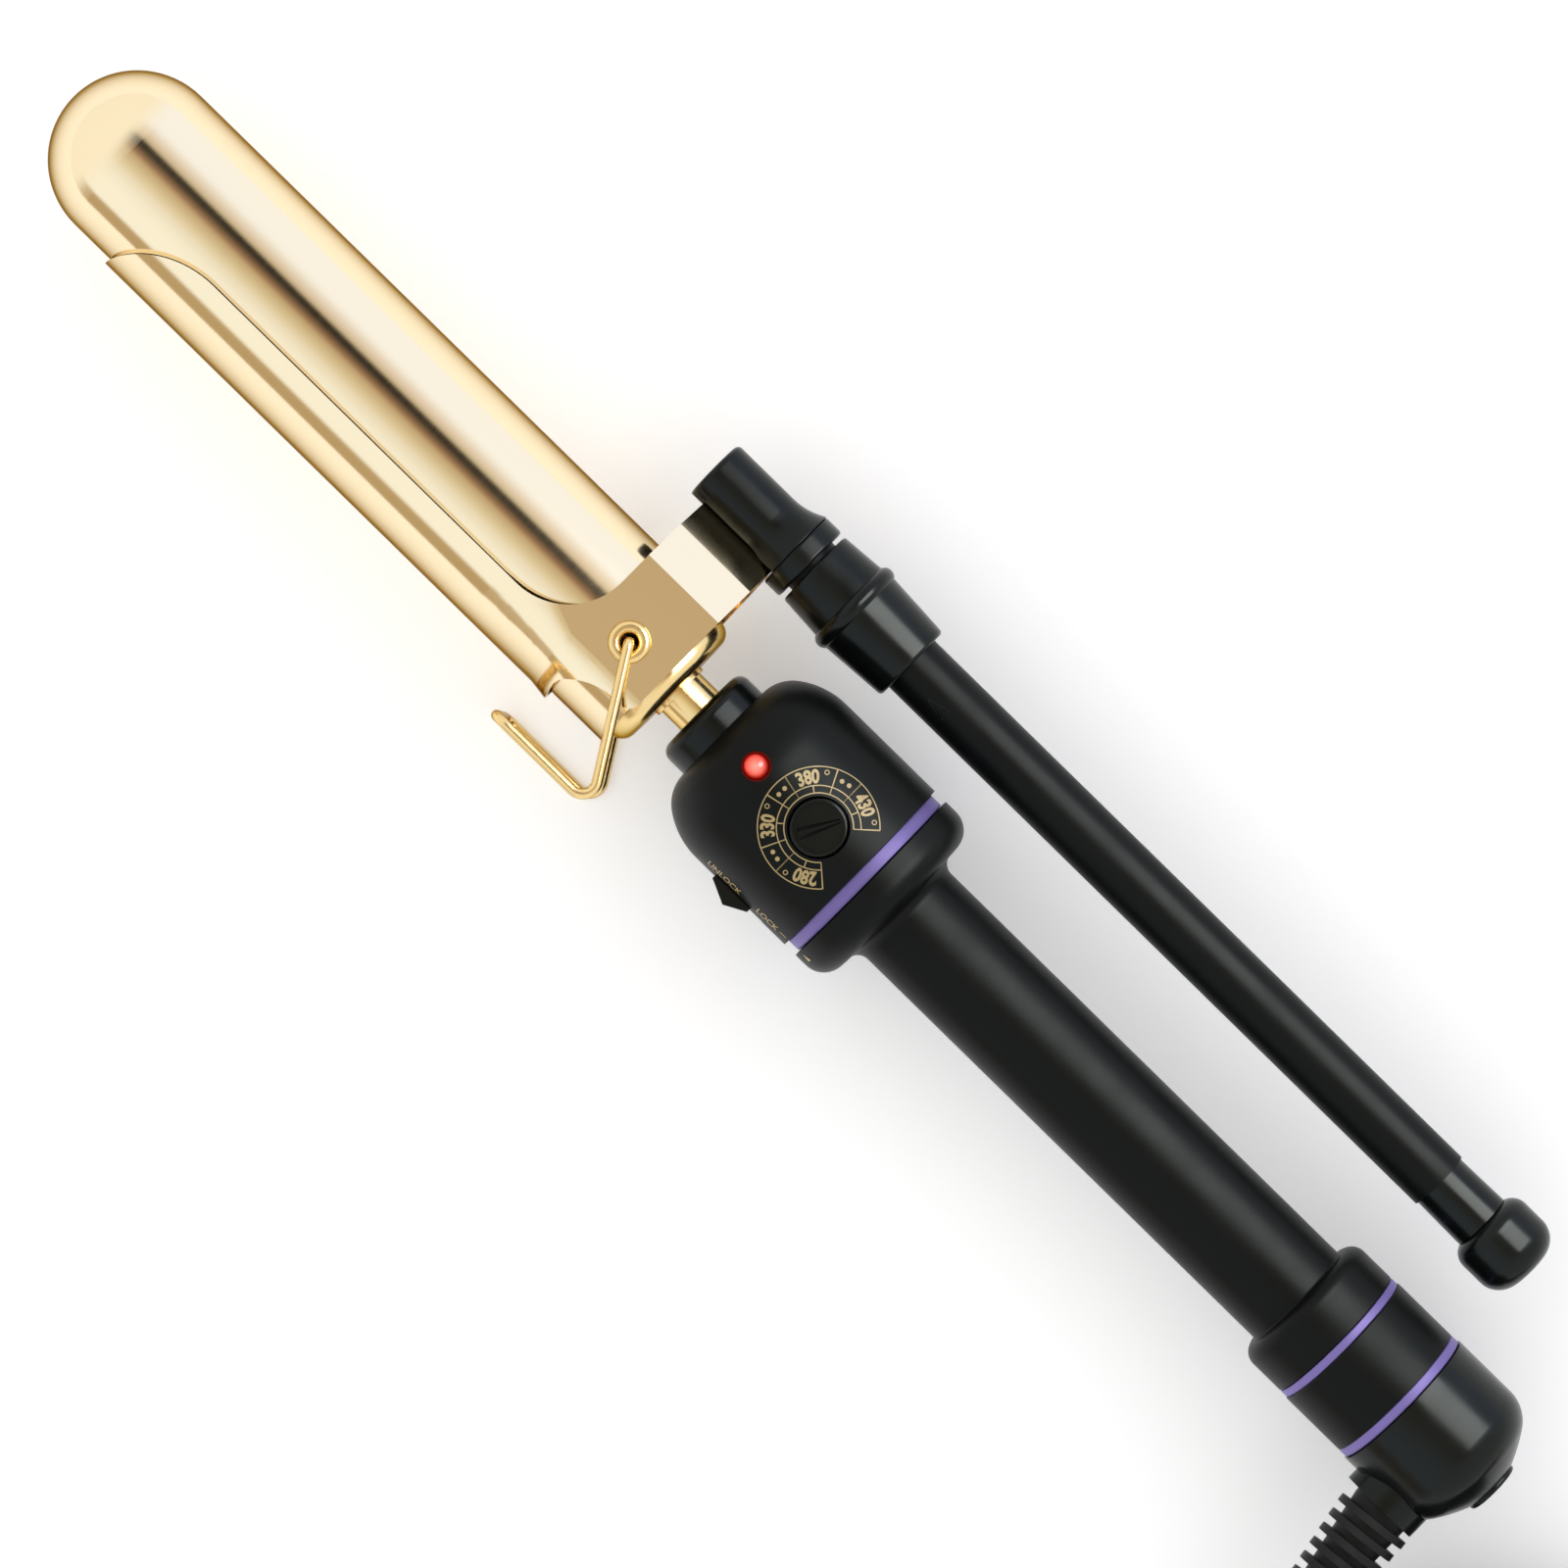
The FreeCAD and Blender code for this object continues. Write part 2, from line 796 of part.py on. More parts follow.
def make_grip_sleeve():
    bore = size("grip_bore")
    rim = size("housing_radius")
    shoulder = size("grip_shoulder_x")
    big = size("grip_shoulder_round")
    root = size("grip_root_round")
    radius = size("grip_radius")
    waist = shoulder - big
    flare_start = size("grip_straight_end")
    flare = size("grip_flare_root")
    flare_rim = size("grip_flare_radius")
    edge = size("grip_flare_edge")
    blank = turned("grip_blank", (size("grip_front"), bore), [
        line_to(size("grip_front"), rim),
        line_to(shoulder, rim),
        arc_to(waist, rim - big, big),
        line_to(waist, radius + root),
        arc_to(waist - root, radius, root, hollow=True),
        line_to(flare_start, radius),
        arc_to(flare_start - flare, radius + flare, flare, hollow=True),
        line_to(flare_start - flare, flare_rim - edge),
        arc_to(flare_start - flare - edge, flare_rim, edge),
        line_to(size("grip_back"), flare_rim),
        line_to(size("grip_back"), bore),
    ])
    return cut_from("grip_sleeve", blank, make_notches())


def make_notches():
    """The ring of notches in the grip's flange that the lock bar can enter."""
    low = number("lock_bar_low") - number("lock_gap")
    high = number("lock_bar_high") + number("lock_gap")
    half = number("notch_half_width")
    front = number("grip_front")
    depth = number("notch_depth")
    notches = []
    for step in range(int(number("notch_count"))):
        notch = Part.makeBox(depth, high - low, 2 * half, V(front - depth, low, -half))
        notch.rotate(V(0, 0, 0), V(1, 0, 0), step * 360.0 / number("notch_count"))
        notches.append(notch)
    return fixed_shape("grip_notches", Part.makeCompound(notches))


def make_grip_bushes():
    outer = size("grip_bore")
    inner = size("core_radius") + size("running_gap")
    length = size("bush_length")
    bushes = []
    for name in ("front", "rear"):
        front = size(name + "_bush_x")
        bushes.append(turned("grip_bush_" + name, (front, inner), [
            line_to(front, outer),
            line_to(front - length, outer),
            line_to(front - length, inner),
        ]))
    return group("grip_bushes", *bushes)


def make_grip_end_ring():
    return plain_ring("grip_end_ring", size("end_ring_front"), size("rear_collar_front"),
                      size("grip_flare_radius"), size("core_radius"))


def make_rear_collar():
    front = size("rear_collar_front")
    back = size("rear_collar_back")
    radius = size("rear_collar_radius")
    hole = size("lip_hole_radius")
    edge = size("ring_edge")
    floor = back + size("collar_lip")
    inner = radius - size("collar_wall")
    web = size("core_back") - size("lock_gap")
    return turned("rear_collar", (front, size("core_radius")), [
        line_to(front, radius - edge),
        arc_to(front - edge, radius, edge),
        line_to(back, radius),
        line_to(back, hole),
        line_to(floor, hole),
        line_to(floor, inner),
        line_to(web, inner),
        line_to(web, size("core_radius")),
    ])


def make_swivel_ring():
    return plain_ring("swivel_ring", size("rear_collar_back"), size("swivel_ring_back"),
                      size("rear_collar_radius"), size("swivel_ring_bore"))


# --- end cap and swivel -------------------------------------------------------------------

def make_rear_cap():
    front = size("cap_front")
    radius = size("cap_radius")
    straight = size("cap_straight_end")
    end_wall = size("plug_front")
    hole = size("plug_radius")
    inner = radius - size("cap_wall")
    lip = front - size("cap_lip")
    blank = turned("cap_blank", (front, size("post_radius")), [
        line_to(front, radius),
        line_to(straight, radius),
        arc_to(size("cap_turn_x"), size("cap_turn_radius"), size("cap_side_round")),
        arc_to(size("cap_end_x"), hole, size("cap_end_round")),
        line_to(end_wall, hole),
        line_to(end_wall, hole + size("cap_wall")),
        line_to(straight, inner),
        line_to(lip, inner),
        line_to(lip, size("post_radius")),
    ])
    boss = cylinder("cord_boss", size("boss_radius"), size("boss_low"), size("boss_top"),
                    x=size("boss_x"), along="y")
    outside = joined("cap_with_boss", blank, boss)
    inside = cylinder("cap_inside", inner, straight, lip, along="x")
    length = size("boss_top") - size("relief_start_y") + size("relief_straight")
    relief = size("relief_root_radius")
    relief_hole = turned("relief_hole", (-1, 0), [
        line_to(-1, relief),
        line_to(length, relief),
        line_to(length, 0),
    ])
    tilt_relief(relief_hole)
    return cut_from("rear_cap", outside, inside, relief_hole)


def tilt_relief(thing):
    """Turn a piece drawn along +X so that it follows the strain relief's axis."""
    thing.Placement.Rotation = FreeCAD.Rotation(V(0, 0, 1), 90 + number("relief_tilt"))
    return at(thing, x=size("boss_x"), y=size("relief_start_y"))


def make_end_plug():
    back = size("plug_back")
    edge = size("plug_edge")
    radius = size("plug_radius")
    return turned("end_plug", (size("plug_front"), 0), [
        line_to(size("plug_front"), radius),
        line_to(back + edge, radius),
        arc_to(back, radius - edge, edge),
        line_to(back, 0),
    ])


def make_swivel_post():
    front = size("post_pin_front")
    head_front = size("post_head_front")
    head_back = size("post_head_back")
    back = size("post_back")
    return turned("swivel_post", (front, 0), [
        line_to(front, size("post_pin_radius")),
        line_to(head_front, size("post_pin_radius")),
        line_to(head_front, size("post_head_radius")),
        line_to(head_back, size("post_head_radius")),
        line_to(head_back, size("post_radius")),
        line_to(back, size("post_radius")),
        line_to(back, 0),
    ])


def slip_ring_fronts():
    """Where the two slip rings begin, as (name, side of its spring, x)."""
    first = size("slip_ring_front")
    return (("front", 1, first), ("rear", -1, first - size("slip_ring_pitch")))


def make_slip_rings():
    inner = size("post_pin_radius")
    outer = size("slip_ring_radius")
    width = size("slip_ring_width")
    rings = [tube_along("slip_ring_" + name, front, front - width, outer, inner)
             for name, side, front in slip_ring_fronts()]
    return group("slip_rings", *rings)


def make_contact_springs():
    """A flat spring beside each slip ring, one on either side of the pin."""
    near = size("spring_inner")
    far = size("spring_outer")
    springs = []
    for name, side, ring_front in slip_ring_fronts():
        front = ring_front - 2 * number("running_gap")
        low, high = (near, far) if side > 0 else (-far, -near)
        springs.append(box("contact_spring_" + name,
                           (front - size("spring_width"), low, size("spring_low")),
                           (front, high, size("spring_high"))))
    return group("contact_springs", *springs)


# --- inside the barrel and the wiring -----------------------------------------------------

def rod_along(label, start, end, y, z, radius):
    return cylinder(label, radius, start, end, x=y, y=z, along="x")


def tube_along(label, front, back, outer, inner):
    return turned(label, (front, inner), [
        line_to(front, outer),
        line_to(back, outer),
        line_to(back, inner),
    ])


def make_heater_core():
    return tube_along("heater_core", size("heater_front"), size("heater_back"),
                      size("heater_radius"), size("heater_bore"))


def make_heater_sleeve():
    return tube_along("heater_sleeve", size("sleeve_front"), size("sleeve_back"),
                      size("sleeve_radius"), size("heater_radius"))


def make_heater_spacers():
    outer = size("barrel_radius") - size("barrel_wall")
    spacers = []
    for name in ("front", "rear"):
        front = size(name + "_spacer_x")
        spacers.append(tube_along("heater_spacer_" + name, front, front - size("spacer_width"),
                                  outer, size("sleeve_radius")))
    return group("heater_spacers", *spacers)


def make_temperature_sensor():
    return rod_along("temperature_sensor", size("sensor_back"), size("sensor_front"),
                     0, size("sensor_z"), size("sensor_radius"))


def wire_pair(label, back, front, offset, radius):
    """Two straight wires side by side along X."""
    wires = [rod_along("%s_%d" % (label, side), back, front, offset * side, 0, radius)
             for side in (-1, 1)]
    return group(label, *wires)


def make_heater_leads():
    return wire_pair("heater_leads", size("lead_back"), size("heater_back"),
                     size("lead_offset"), size("lead_radius"))


def make_power_wires():
    return wire_pair("power_wires", size("power_wire_back"), size("power_wire_front"),
                     size("power_wire_offset"), size("power_wire_radius"))


# --- clamp --------------------------------------------------------------------------------

# how far each corner of the yoke moves inwards, in Y and Z, as a share of the sheet's wall
BEND_SHIFT = (0.34, 1.0)
KNEE_SHIFT = (0.73, 0.70)
FOOT_SHIFT = (1.0, 0.31)
# how far cutting shapes reach past what they cut
CUT_MARGIN = 2.0
# the clamp's rear edge from the ear round to the curled lip: a middle and an end for each arc
REAR_EDGE = [
    (V(-8.3, 8.0, 0), V(-6.9, 8.9, 0)),
    (V(-1.2, 9.5, 0), V(3.2, 12.06, 0)),
    (V(4.3, 13.4, 0), V(4.6, 14.6, 0)),
    (V(4.4, 15.8, 0), V(4.3, 17.0, 0)),
]


def sheet_section(x, offset, crown_centre, flare=0.0):
    """The clamp's closed cross-section at x, drawn smaller by offset all round.

    The crown is a half ellipse above crown_centre; flare lifts it off the barrel.
    """
    half_height = number("clamp_outer_radius") - offset
    reach = half_height - crown_centre + flare

    def corner(y, z, shift):
        return y + shift[0] * offset, z - shift[1] * offset

    side = [
        corner(number("ear_bend_y"), number("clamp_outer_radius"), BEND_SHIFT),
        corner(number("yoke_knee_y"), number("yoke_knee_z"), KNEE_SHIFT),
        corner(number("yoke_y"), number("yoke_half_width"), FOOT_SHIFT),
    ]
    centre = V(x, crown_centre, 0)
    top = V(x, crown_centre, half_height)
    bottom = V(x, crown_centre, -half_height)
    peak = V(x, crown_centre + reach, 0)
    if reach < half_height:
        crown = Part.ArcOfEllipse(Part.Ellipse(top, peak, centre), 0, math.pi).toShape()
    else:
        crown = Part.Arc(top, peak, bottom).toShape()
    upper = [V(x, y, z) for y, z in side]
    lower = [V(x, y, -z) for y, z in reversed(side)]
    corners = [top] + upper + lower + [bottom]
    edges = [crown] + [Part.makeLine(a, b) for a, b in zip(corners, corners[1:])]
    return Part.Wire(Part.__sortEdges__(edges))


def section_solid(offset):
    """The cross-section run along the barrel: round in front, then tall, then flared."""
    crown = number("crown_centre_y")
    flare = number("crown_flare")
    middle = number("clamp_tube_end")
    ear = number("ear_front")
    lip = number("lip_back")
    round_part = Part.Face(sheet_section(middle, offset, 0.0))
    flared_part = Part.Face(sheet_section(lip, offset, crown, flare))
    tip = round_part.extrude(V(number("clamp_tip_x") + CUT_MARGIN - middle, 0, 0))
    blend = Part.makeLoft([sheet_section(middle, offset, 0.0),
                           sheet_section(ear, offset, crown)], True, True)
    lift_off = Part.makeLoft([sheet_section(ear, offset, crown),
                              sheet_section(lip, offset, crown, flare)], True, True)
    ears = flared_part.extrude(V(number("ear_back") - CUT_MARGIN - lip, 0, 0))
    return tip.fuse([blend, lift_off, ears]).removeSplitter()


def clamp_outline():
    """The clamp seen along the pivot axis: tip, long edge, ears, yoke, rear edge and lip."""
    top = number("clamp_outer_radius") + CUT_MARGIN
    crown = number("clamp_outer_radius")
    tip_x = number("clamp_tip_x")
    edge_y = number("clamp_edge_y")
    tip_round = number("clamp_tip_round")
    tip_start = tip_x - number("clamp_tip_length")
    ear_front = number("ear_front")
    ear_round = number("ear_front_round")
    ear_back = number("ear_back")
    lip = number("lip_back")
    yoke = number("yoke_y") - CUT_MARGIN
    slant = tip_round * (1 - math.cos(math.radians(30)))
    corner = ear_round * (1 - math.sqrt(0.5))
    edges = [
        Part.Arc(V(tip_x, crown, 0), V(tip_start + tip_round / 2, edge_y + slant, 0),
                 V(tip_start, edge_y, 0)).toShape(),
        Part.makeLine(V(tip_start, edge_y, 0), V(ear_front + ear_round, edge_y, 0)),
        Part.Arc(V(ear_front + ear_round, edge_y, 0),
                 V(ear_front + corner, edge_y - corner, 0),
                 V(ear_front, edge_y - ear_round, 0)).toShape(),
        Part.makeLine(V(ear_front, edge_y - ear_round, 0), V(ear_front, yoke, 0)),
        Part.makeLine(V(ear_front, yoke, 0), V(ear_back, yoke, 0)),
    ]
    start = V(ear_back, number("rear_corner_y"), 0)
    edges.append(Part.makeLine(V(ear_back, yoke, 0), start))
    for middle, end in REAR_EDGE:
        edges.append(Part.Arc(start, middle, end).toShape())
        start = end
    edges.append(Part.makeLine(start, V(lip, top, 0)))
    edges.append(Part.makeLine(V(lip, top, 0), V(tip_x, top, 0)))
    edges.append(Part.makeLine(V(tip_x, top, 0), V(tip_x, crown, 0)))
    return Part.Face(Part.Wire(edges))


def make_clamp_shell():
    """A folded sheet: the section's skin, kept inside the outline, with its three holes."""
    reach = number("clamp_outer_radius") + CUT_MARGIN
    sheet = section_solid(0.0).cut(section_solid(number("sheet_wall")))
    outline = clamp_outline()
    outline.translate(V(0, 0, -reach))
    shell = sheet.common(outline.extrude(V(0, 0, 2 * reach)))
    ear_hole = number("rivet_radius") + number("running_gap")
    shell = shell.cut(Part.makeCylinder(ear_hole, 2 * reach, V(0, 0, -reach)))
    yoke = number("yoke_y")
    screw_hole = Part.makeCylinder(number("yoke_screw_hole"), 2 * CUT_MARGIN,
                                   V(0, yoke - CUT_MARGIN, 0), V(0, 1, 0))
    shell = shell.cut(screw_hole)
    return fixed_shape("clamp_shell", max(shell.Solids, key=lambda solid: solid.Volume))


def make_pivot_rivets():
    """Two hollow rivets: clinched inside the barrel, with a rolled head outside each ear."""
    foot_low = size("rivet_foot_low")
    foot_high = size("rivet_foot_high")
    foot = size("rivet_foot_radius")
    seat = size("rivet_seat")
    crest = seat + size("rivet_head_height")
    head = size("rivet_head_radius")
    roll = size("rivet_roll")
    shank = size("rivet_radius")
    hole = size("rivet_hole")
    rivets = []
    for name, turn in (("upper", 0), ("lower", 180)):
        rivet = turned("rivet_" + name, (foot_low, hole), [
            line_to(foot_low, foot),
            line_to(foot_high, foot),
            line_to(foot_high, shank),
            line_to(seat, shank),
            line_to(seat, head),
            arc_to(crest, size("rivet_crest_radius"), roll),
            line_to(crest, hole + roll),
            arc_to(crest - roll, hole, roll, hollow=True),
        ], upright=True)
        rivet.Placement.Rotation = FreeCAD.Rotation(V(1, 0, 0), turn)
        rivets.append(rivet)
    return group("pivot_rivets", *rivets)


def rounded_path(points, radii):
    """Straight runs joined by arcs, one radius for each corner."""
    edges = []
    start = points[0]
    for before, corner, after, radius in zip(points, points[1:], points[2:], radii):
        towards = (before - corner).normalize()
        onwards = (after - corner).normalize()
        half_turn = (math.pi - towards.getAngle(onwards)) / 2
        trim = radius * math.tan(half_turn)
        entry = corner + towards * trim
        leave = corner + onwards * trim
        inward = (towards + onwards).normalize()
        depth = radius / math.cos(half_turn) - radius
        edges.append(Part.LineSegment(start, entry).toShape())
        edges.append(Part.Arc(entry, corner + inward * depth, leave).toShape())
        start = leave
    edges.append(Part.LineSegment(start, points[-1]).toShape())
    return Part.Wire(edges)


def round_wire(path, radius):
    """A round bar swept along a path of lines and tangent arcs."""
    start = path.Edges[0]
    direction = start.tangentAt(start.FirstParameter)
    circle = Part.Wire(Part.makeCircle(radius, start.valueAt(start.FirstParameter), direction))
    return path.makePipeShell([circle], True, False)


def make_stand_wire():
    side = number("wire_z")
    back = number("foot_back")
    front = number("foot_front")
    foot = number("foot_y")
    inner = number("stand_pin_inner")
    upper_half = [V(0, 0, inner), V(0, 0, side), V(back, foot, side), V(front, foot, side)]
    lower_half = [V(point.x, point.y, -point.z) for point in reversed(upper_half)]
    pin = number("wire_pin_bend")
    bend = number("wire_bend")
    path = rounded_path(upper_half + lower_half, [pin, bend, bend, bend, bend, pin])
    return fixed_shape("stand_wire", round_wire(path, number("wire_radius")))


# --- lever --------------------------------------------------------------------------------

def at_lever(thing):
    return at(thing, y=size("lever_y"))


def make_lever_ferrule():
    """A socket for the rod, flat where the clamp's yoke lies on it."""
    front = size("ferrule_front")
    back = size("ferrule_back")
    radius = size("ferrule_radius")
    edge = size("ferrule_edge")
    flare = size("ferrule_flare_radius")
    rod = size("rod_radius")
    rod_end = size("rod_front")
    blank = turned("ferrule_blank", (front, 0), [
        line_to(front, radius - edge),
        arc_to(front - edge, radius, edge),
        line_to(size("ferrule_flare_start"), radius),
        arc_to(size("ferrule_flare_x"), flare, size("ferrule_flare_round"), hollow=True),
        line_to(back, flare),
        line_to(back, rod),
        line_to(rod_end, rod),
        line_to(rod_end, 0),
    ])
    flat = size("yoke_y") - size("lever_y")
    side = flare + edge
    above = box("ferrule_flat", (back, flat, -side), (front, side, side))
    screw = cylinder("ferrule_screw_hole", size("yoke_screw_radius"), rod - edge, side, along="y")
    return at_lever(cut_from("lever_ferrule", blank, above, screw))


def make_yoke_screw():
    plate = size("yoke_y") + size("sheet_wall") - size("lever_y")
    top = plate + size("yoke_screw_head_height")
    head = cylinder("yoke_screw_head", size("yoke_screw_head_radius"), plate, top, along="y")
    shank = cylinder("yoke_screw_shank", size("yoke_screw_radius"), size("rod_radius"), top,
                     along="y")
    return at_lever(joined("yoke_screw", head, shank))


def make_lever_ring():
    return at_lever(plain_ring("lever_ring", size("ferrule_back"), size("lever_ring_back"),
                               size("lever_ring_radius"), size("rod_radius"),
                               size("lever_ring_edge")))


def make_lever_front_bush():
    back = size("lever_collar_front") + 2 * number("running_gap")
    return at_lever(tube_along("lever_front_bush", size("lever_ring_back"), back,
                               size("front_bush_radius"), size("rod_radius")))


def make_lever_collar():
    """The lever grip's front collar, with a raised bead and a socket for the tube."""
    front = size("lever_collar_front")
    front_radius = size("collar_front_radius")
    front_edge = size("collar_front_edge")
    back = size("lever_collar_back")
    back_radius = size("collar_back_radius")
    back_edge = size("collar_back_edge")
    bead = size("bead_x")
    half = size("bead_half_width")
    socket = back + size("collar_socket")
    bore = size("rod_radius") + size("running_gap")
    return at_lever(turned("lever_collar", (front, bore), [
        line_to(front, front_radius - front_edge),
        arc_to(front - front_edge, front_radius, front_edge),
        line_to(bead + half, size("bead_front_radius")),
        arc_to(bead - half, size("bead_back_radius"), size("bead_round")),
        line_to(back + back_edge, back_radius),
        arc_to(back, back_radius - back_edge, back_edge),
        line_to(back, size("lever_bore")),
        line_to(socket, size("lever_bore")),
        line_to(socket, bore),
    ]))


def make_lever_tube():
    return at_lever(tube_along("lever_tube", size("lever_collar_back"), size("lever_tube_back"),
                               size("lever_radius"), size("lever_bore")))


def make_lever_neck():
    front = size("lever_tube_back")
    back = size("lever_neck_back")
    bore = size("lever_bore")
    return at_lever(turned("lever_neck", (front, bore), [
        line_to(front, size("lever_neck_front_radius")),
        line_to(back, size("lever_neck_back_radius")),
        line_to(back, bore),
    ]))


def make_lever_knob():
    front = size("lever_neck_back")
    front_round = size("lever_knob_front_round")
    back = size("lever_knob_back")
    back_round = size("lever_knob_back_round")
    floor = back + size("lever_knob_floor")
    radius = size("lever_knob_radius")
    return at_lever(turned("lever_knob", (front, size("lever_bore")), [
        line_to(front, radius - front_round),
        arc_to(front - front_round, radius, front_round),
        line_to(back + back_round, radius),
        arc_to(back, radius - back_round, back_round),
        line_to(back, 0),
        line_to(floor, 0),
        line_to(floor, size("lever_bore")),
    ]))


def make_lever_rear_bush():
    front = size("rear_bush_front")
    return at_lever(tube_along("lever_rear_bush", front, front - size("bush_length"),
                               size("lever_bore"), size("rod_radius") + size("running_gap")))


def make_lever_rod():
    return at_lever(rod_along("lever_rod", size("rod_back"), size("rod_front"),
                              0, 0, size("rod_radius")))


def make_lever_nut():
    """A hexagonal nut on the rod's rear end."""
    radius = number("nut_corner_radius")
    height = number("nut_height")
    back = number("nut_back")
    turns = [math.radians(60 * side) for side in range(7)]
    corners = [V(back, radius * math.cos(turn), radius * math.sin(turn)) for turn in turns]
    blank = Part.Face(Part.makePolygon(corners)).extrude(V(height, 0, 0))
    hole = Part.makeCylinder(number("rod_radius"), height, V(back, 0, 0), V(1, 0, 0))
    return at_lever(fixed_shape("lever_nut", blank.cut(hole)))


# --- cord, coil, tie and wall plug --------------------------------------------------------

def make_strain_relief():
    """A tapered core with ribs; drawn along +X and then tilted into the cord boss."""
    length = number("relief_length")
    root = number("relief_root_radius")
    tip = number("relief_tip_radius")
    straight = number("relief_straight")
    core = Part.makeCylinder(root, straight, V(0, 0, 0), V(1, 0, 0))
    taper = Part.makeCone(root, tip, length - straight, V(straight, 0, 0), V(1, 0, 0))
    solid = core.fuse(taper)
    count = int(number("rib_count"))
    first = number("rib_first_radius")
    last = number("rib_last_radius")
    for rib in range(count):
        start = number("rib_first") + rib * number("rib_pitch")
        radius = first + (last - first) * rib / (count - 1)
        disc = Part.makeCylinder(radius, number("rib_width"), V(start, 0, 0), V(1, 0, 0))
        solid = solid.fuse(disc)
    relief = fixed_shape("cord_strain_relief", solid.removeSplitter())
    tilt_relief(relief)
    return relief


def relief_tip():
    """Where the cord leaves its strain relief, in the finished frame."""
    angle = math.radians(90 + number("relief_tilt"))
    length = number("relief_length")
    return V(number("pivot_x") + number("boss_x") + length * math.cos(angle),
             number("pivot_y") + number("relief_start_y") + length * math.sin(angle),
             number("pivot_z"))


def cord_route():
    """The free cord, from its relief down to the floor and into the coil's outer turn."""
    return [
        relief_tip(),
        V(-168.0, 67.0, 18.4),
        V(-178.5, 83.6, 12.6),
        V(-196.0, 91.6, 6.2),
        V(-215.5, 91.3, 3.0),
    ]


def tangent_arc_path(points):
    """Straight runs joined by arcs as large as the runs allow; prints every radius."""
    edges = []
    start = points[0]
    for before, corner, after in zip(points, points[1:], points[2:]):
        shorter = min(before.distanceToPoint(corner), corner.distanceToPoint(after))
        towards = (before - corner).normalize()
        onwards = (after - corner).normalize()
        half_turn = (math.pi - towards.getAngle(onwards)) / 2
        radius = 0.45 * shorter / math.tan(half_turn)
        trim = 0.45 * shorter
        inward = (towards + onwards).normalize()
        depth = radius / math.cos(half_turn) - radius
        edges.append(Part.LineSegment(start, corner + towards * trim).toShape())
        edges.append(Part.Arc(corner + towards * trim, corner + inward * depth,
                              corner + onwards * trim).toShape())
        start = corner + onwards * trim
        print("cord arc radius %.1f mm, turn %.0f degrees"
              % (radius, math.degrees(2 * half_turn)))
    edges.append(Part.LineSegment(start, points[-1]).toShape())
    return Part.Wire(edges)


def make_cord():
    path = tangent_arc_path(cord_route())
    radius = number("cord_radius")
    tube = round_wire(path, radius)
    print("cord tube volume %.0f mm3, section x length %.0f mm3"
          % (tube.Volume, math.pi * radius ** 2 * path.Length))
    return fixed_shape("cord", tube)


def make_cord_coil():
    """The outer shape of the wound cord: a flat ring with rounded edges."""
    outer = size("coil_outer_radius")
    inner = size("coil_inner_radius")
    height = size("coil_height")
    edge = size("cord_radius")
    coil = turned("cord_coil", (0, inner), [
        line_to(0, outer - edge),
        arc_to(edge, outer, edge),
        line_to(height - edge, outer),
        arc_to(height, outer - edge, edge),
        line_to(height, inner),
    ], upright=True)
    return at(coil, x=size("coil_x"), y=size("coil_y"))


def make_cord_tie():
    """A strap round the coil's section, on the side away from the iron."""
    wall = size("tie_wall")
    half = size("tie_width") * 0.5
    inner_end = size("coil_inner_radius") - size("tie_slack")
    outer_end = size("coil_outer_radius")
    top = size("coil_height")
    outer = box("tie_outer", (inner_end - wall, -half, 0), (outer_end + wall, half, top + wall))
    inner = box("tie_inner", (inner_end, -half, 0), (outer_end, half, top))
    tie = cut_from("cord_tie", outer, inner)
    tie.Placement.Rotation = FreeCAD.Rotation(V(0, 0, 1), number("tie_turn"))
    return at(tie, x=size("coil_x"), y=size("coil_y"))


def wall_plug_place(thing):
    thing.Placement.Rotation = FreeCAD.Rotation(V(0, 0, 1), number("wall_plug_turn"))
    return at(thing, x=size("wall_plug_x"), y=size("wall_plug_y"))


def make_plug_body():
    """The moulded plug with its tapered relief, drawn along +X from the relief's end."""
    length = number("wall_plug_length")
    width = number("wall_plug_width")
    height = number("wall_plug_height")
    relief = number("plug_relief_length")
    block = Part.makeBox(length, width, height, V(0, -width / 2, 0))
    block = block.makeFillet(3.0, [edge for edge in block.Edges if edge_is_along_x(edge)])
    cone = Part.makeCone(number("relief_tip_radius"), number("relief_root_radius"), relief,
                         V(-relief + 1, 0, height / 2), V(1, 0, 0))
    return wall_plug_place(fixed_shape("plug_body", block.fuse(cone).removeSplitter()))


def edge_is_along_x(edge):
    direction = edge.Vertexes[1].Point - edge.Vertexes[0].Point
    return abs(direction.x) > 0.99 * direction.Length


def make_plug_blades():
    length = size("wall_plug_length")
    middle = size("wall_plug_height") * 0.5
    half_width = size("blade_width") * 0.5
    half_wall = size("blade_wall") * 0.5
    blades = []
    for side in (-1, 1):
        centre = size("blade_spacing") * (0.5 * side)
        blades.append(box("plug_blade_%d" % side,
                          (length, centre - half_wall, middle - half_width),
                          (length + size("blade_length"), centre + half_wall,
                           middle + half_width)))
    return wall_plug_place(group("plug_blades", *blades))


# --- build, check and write ---------------------------------------------------------------

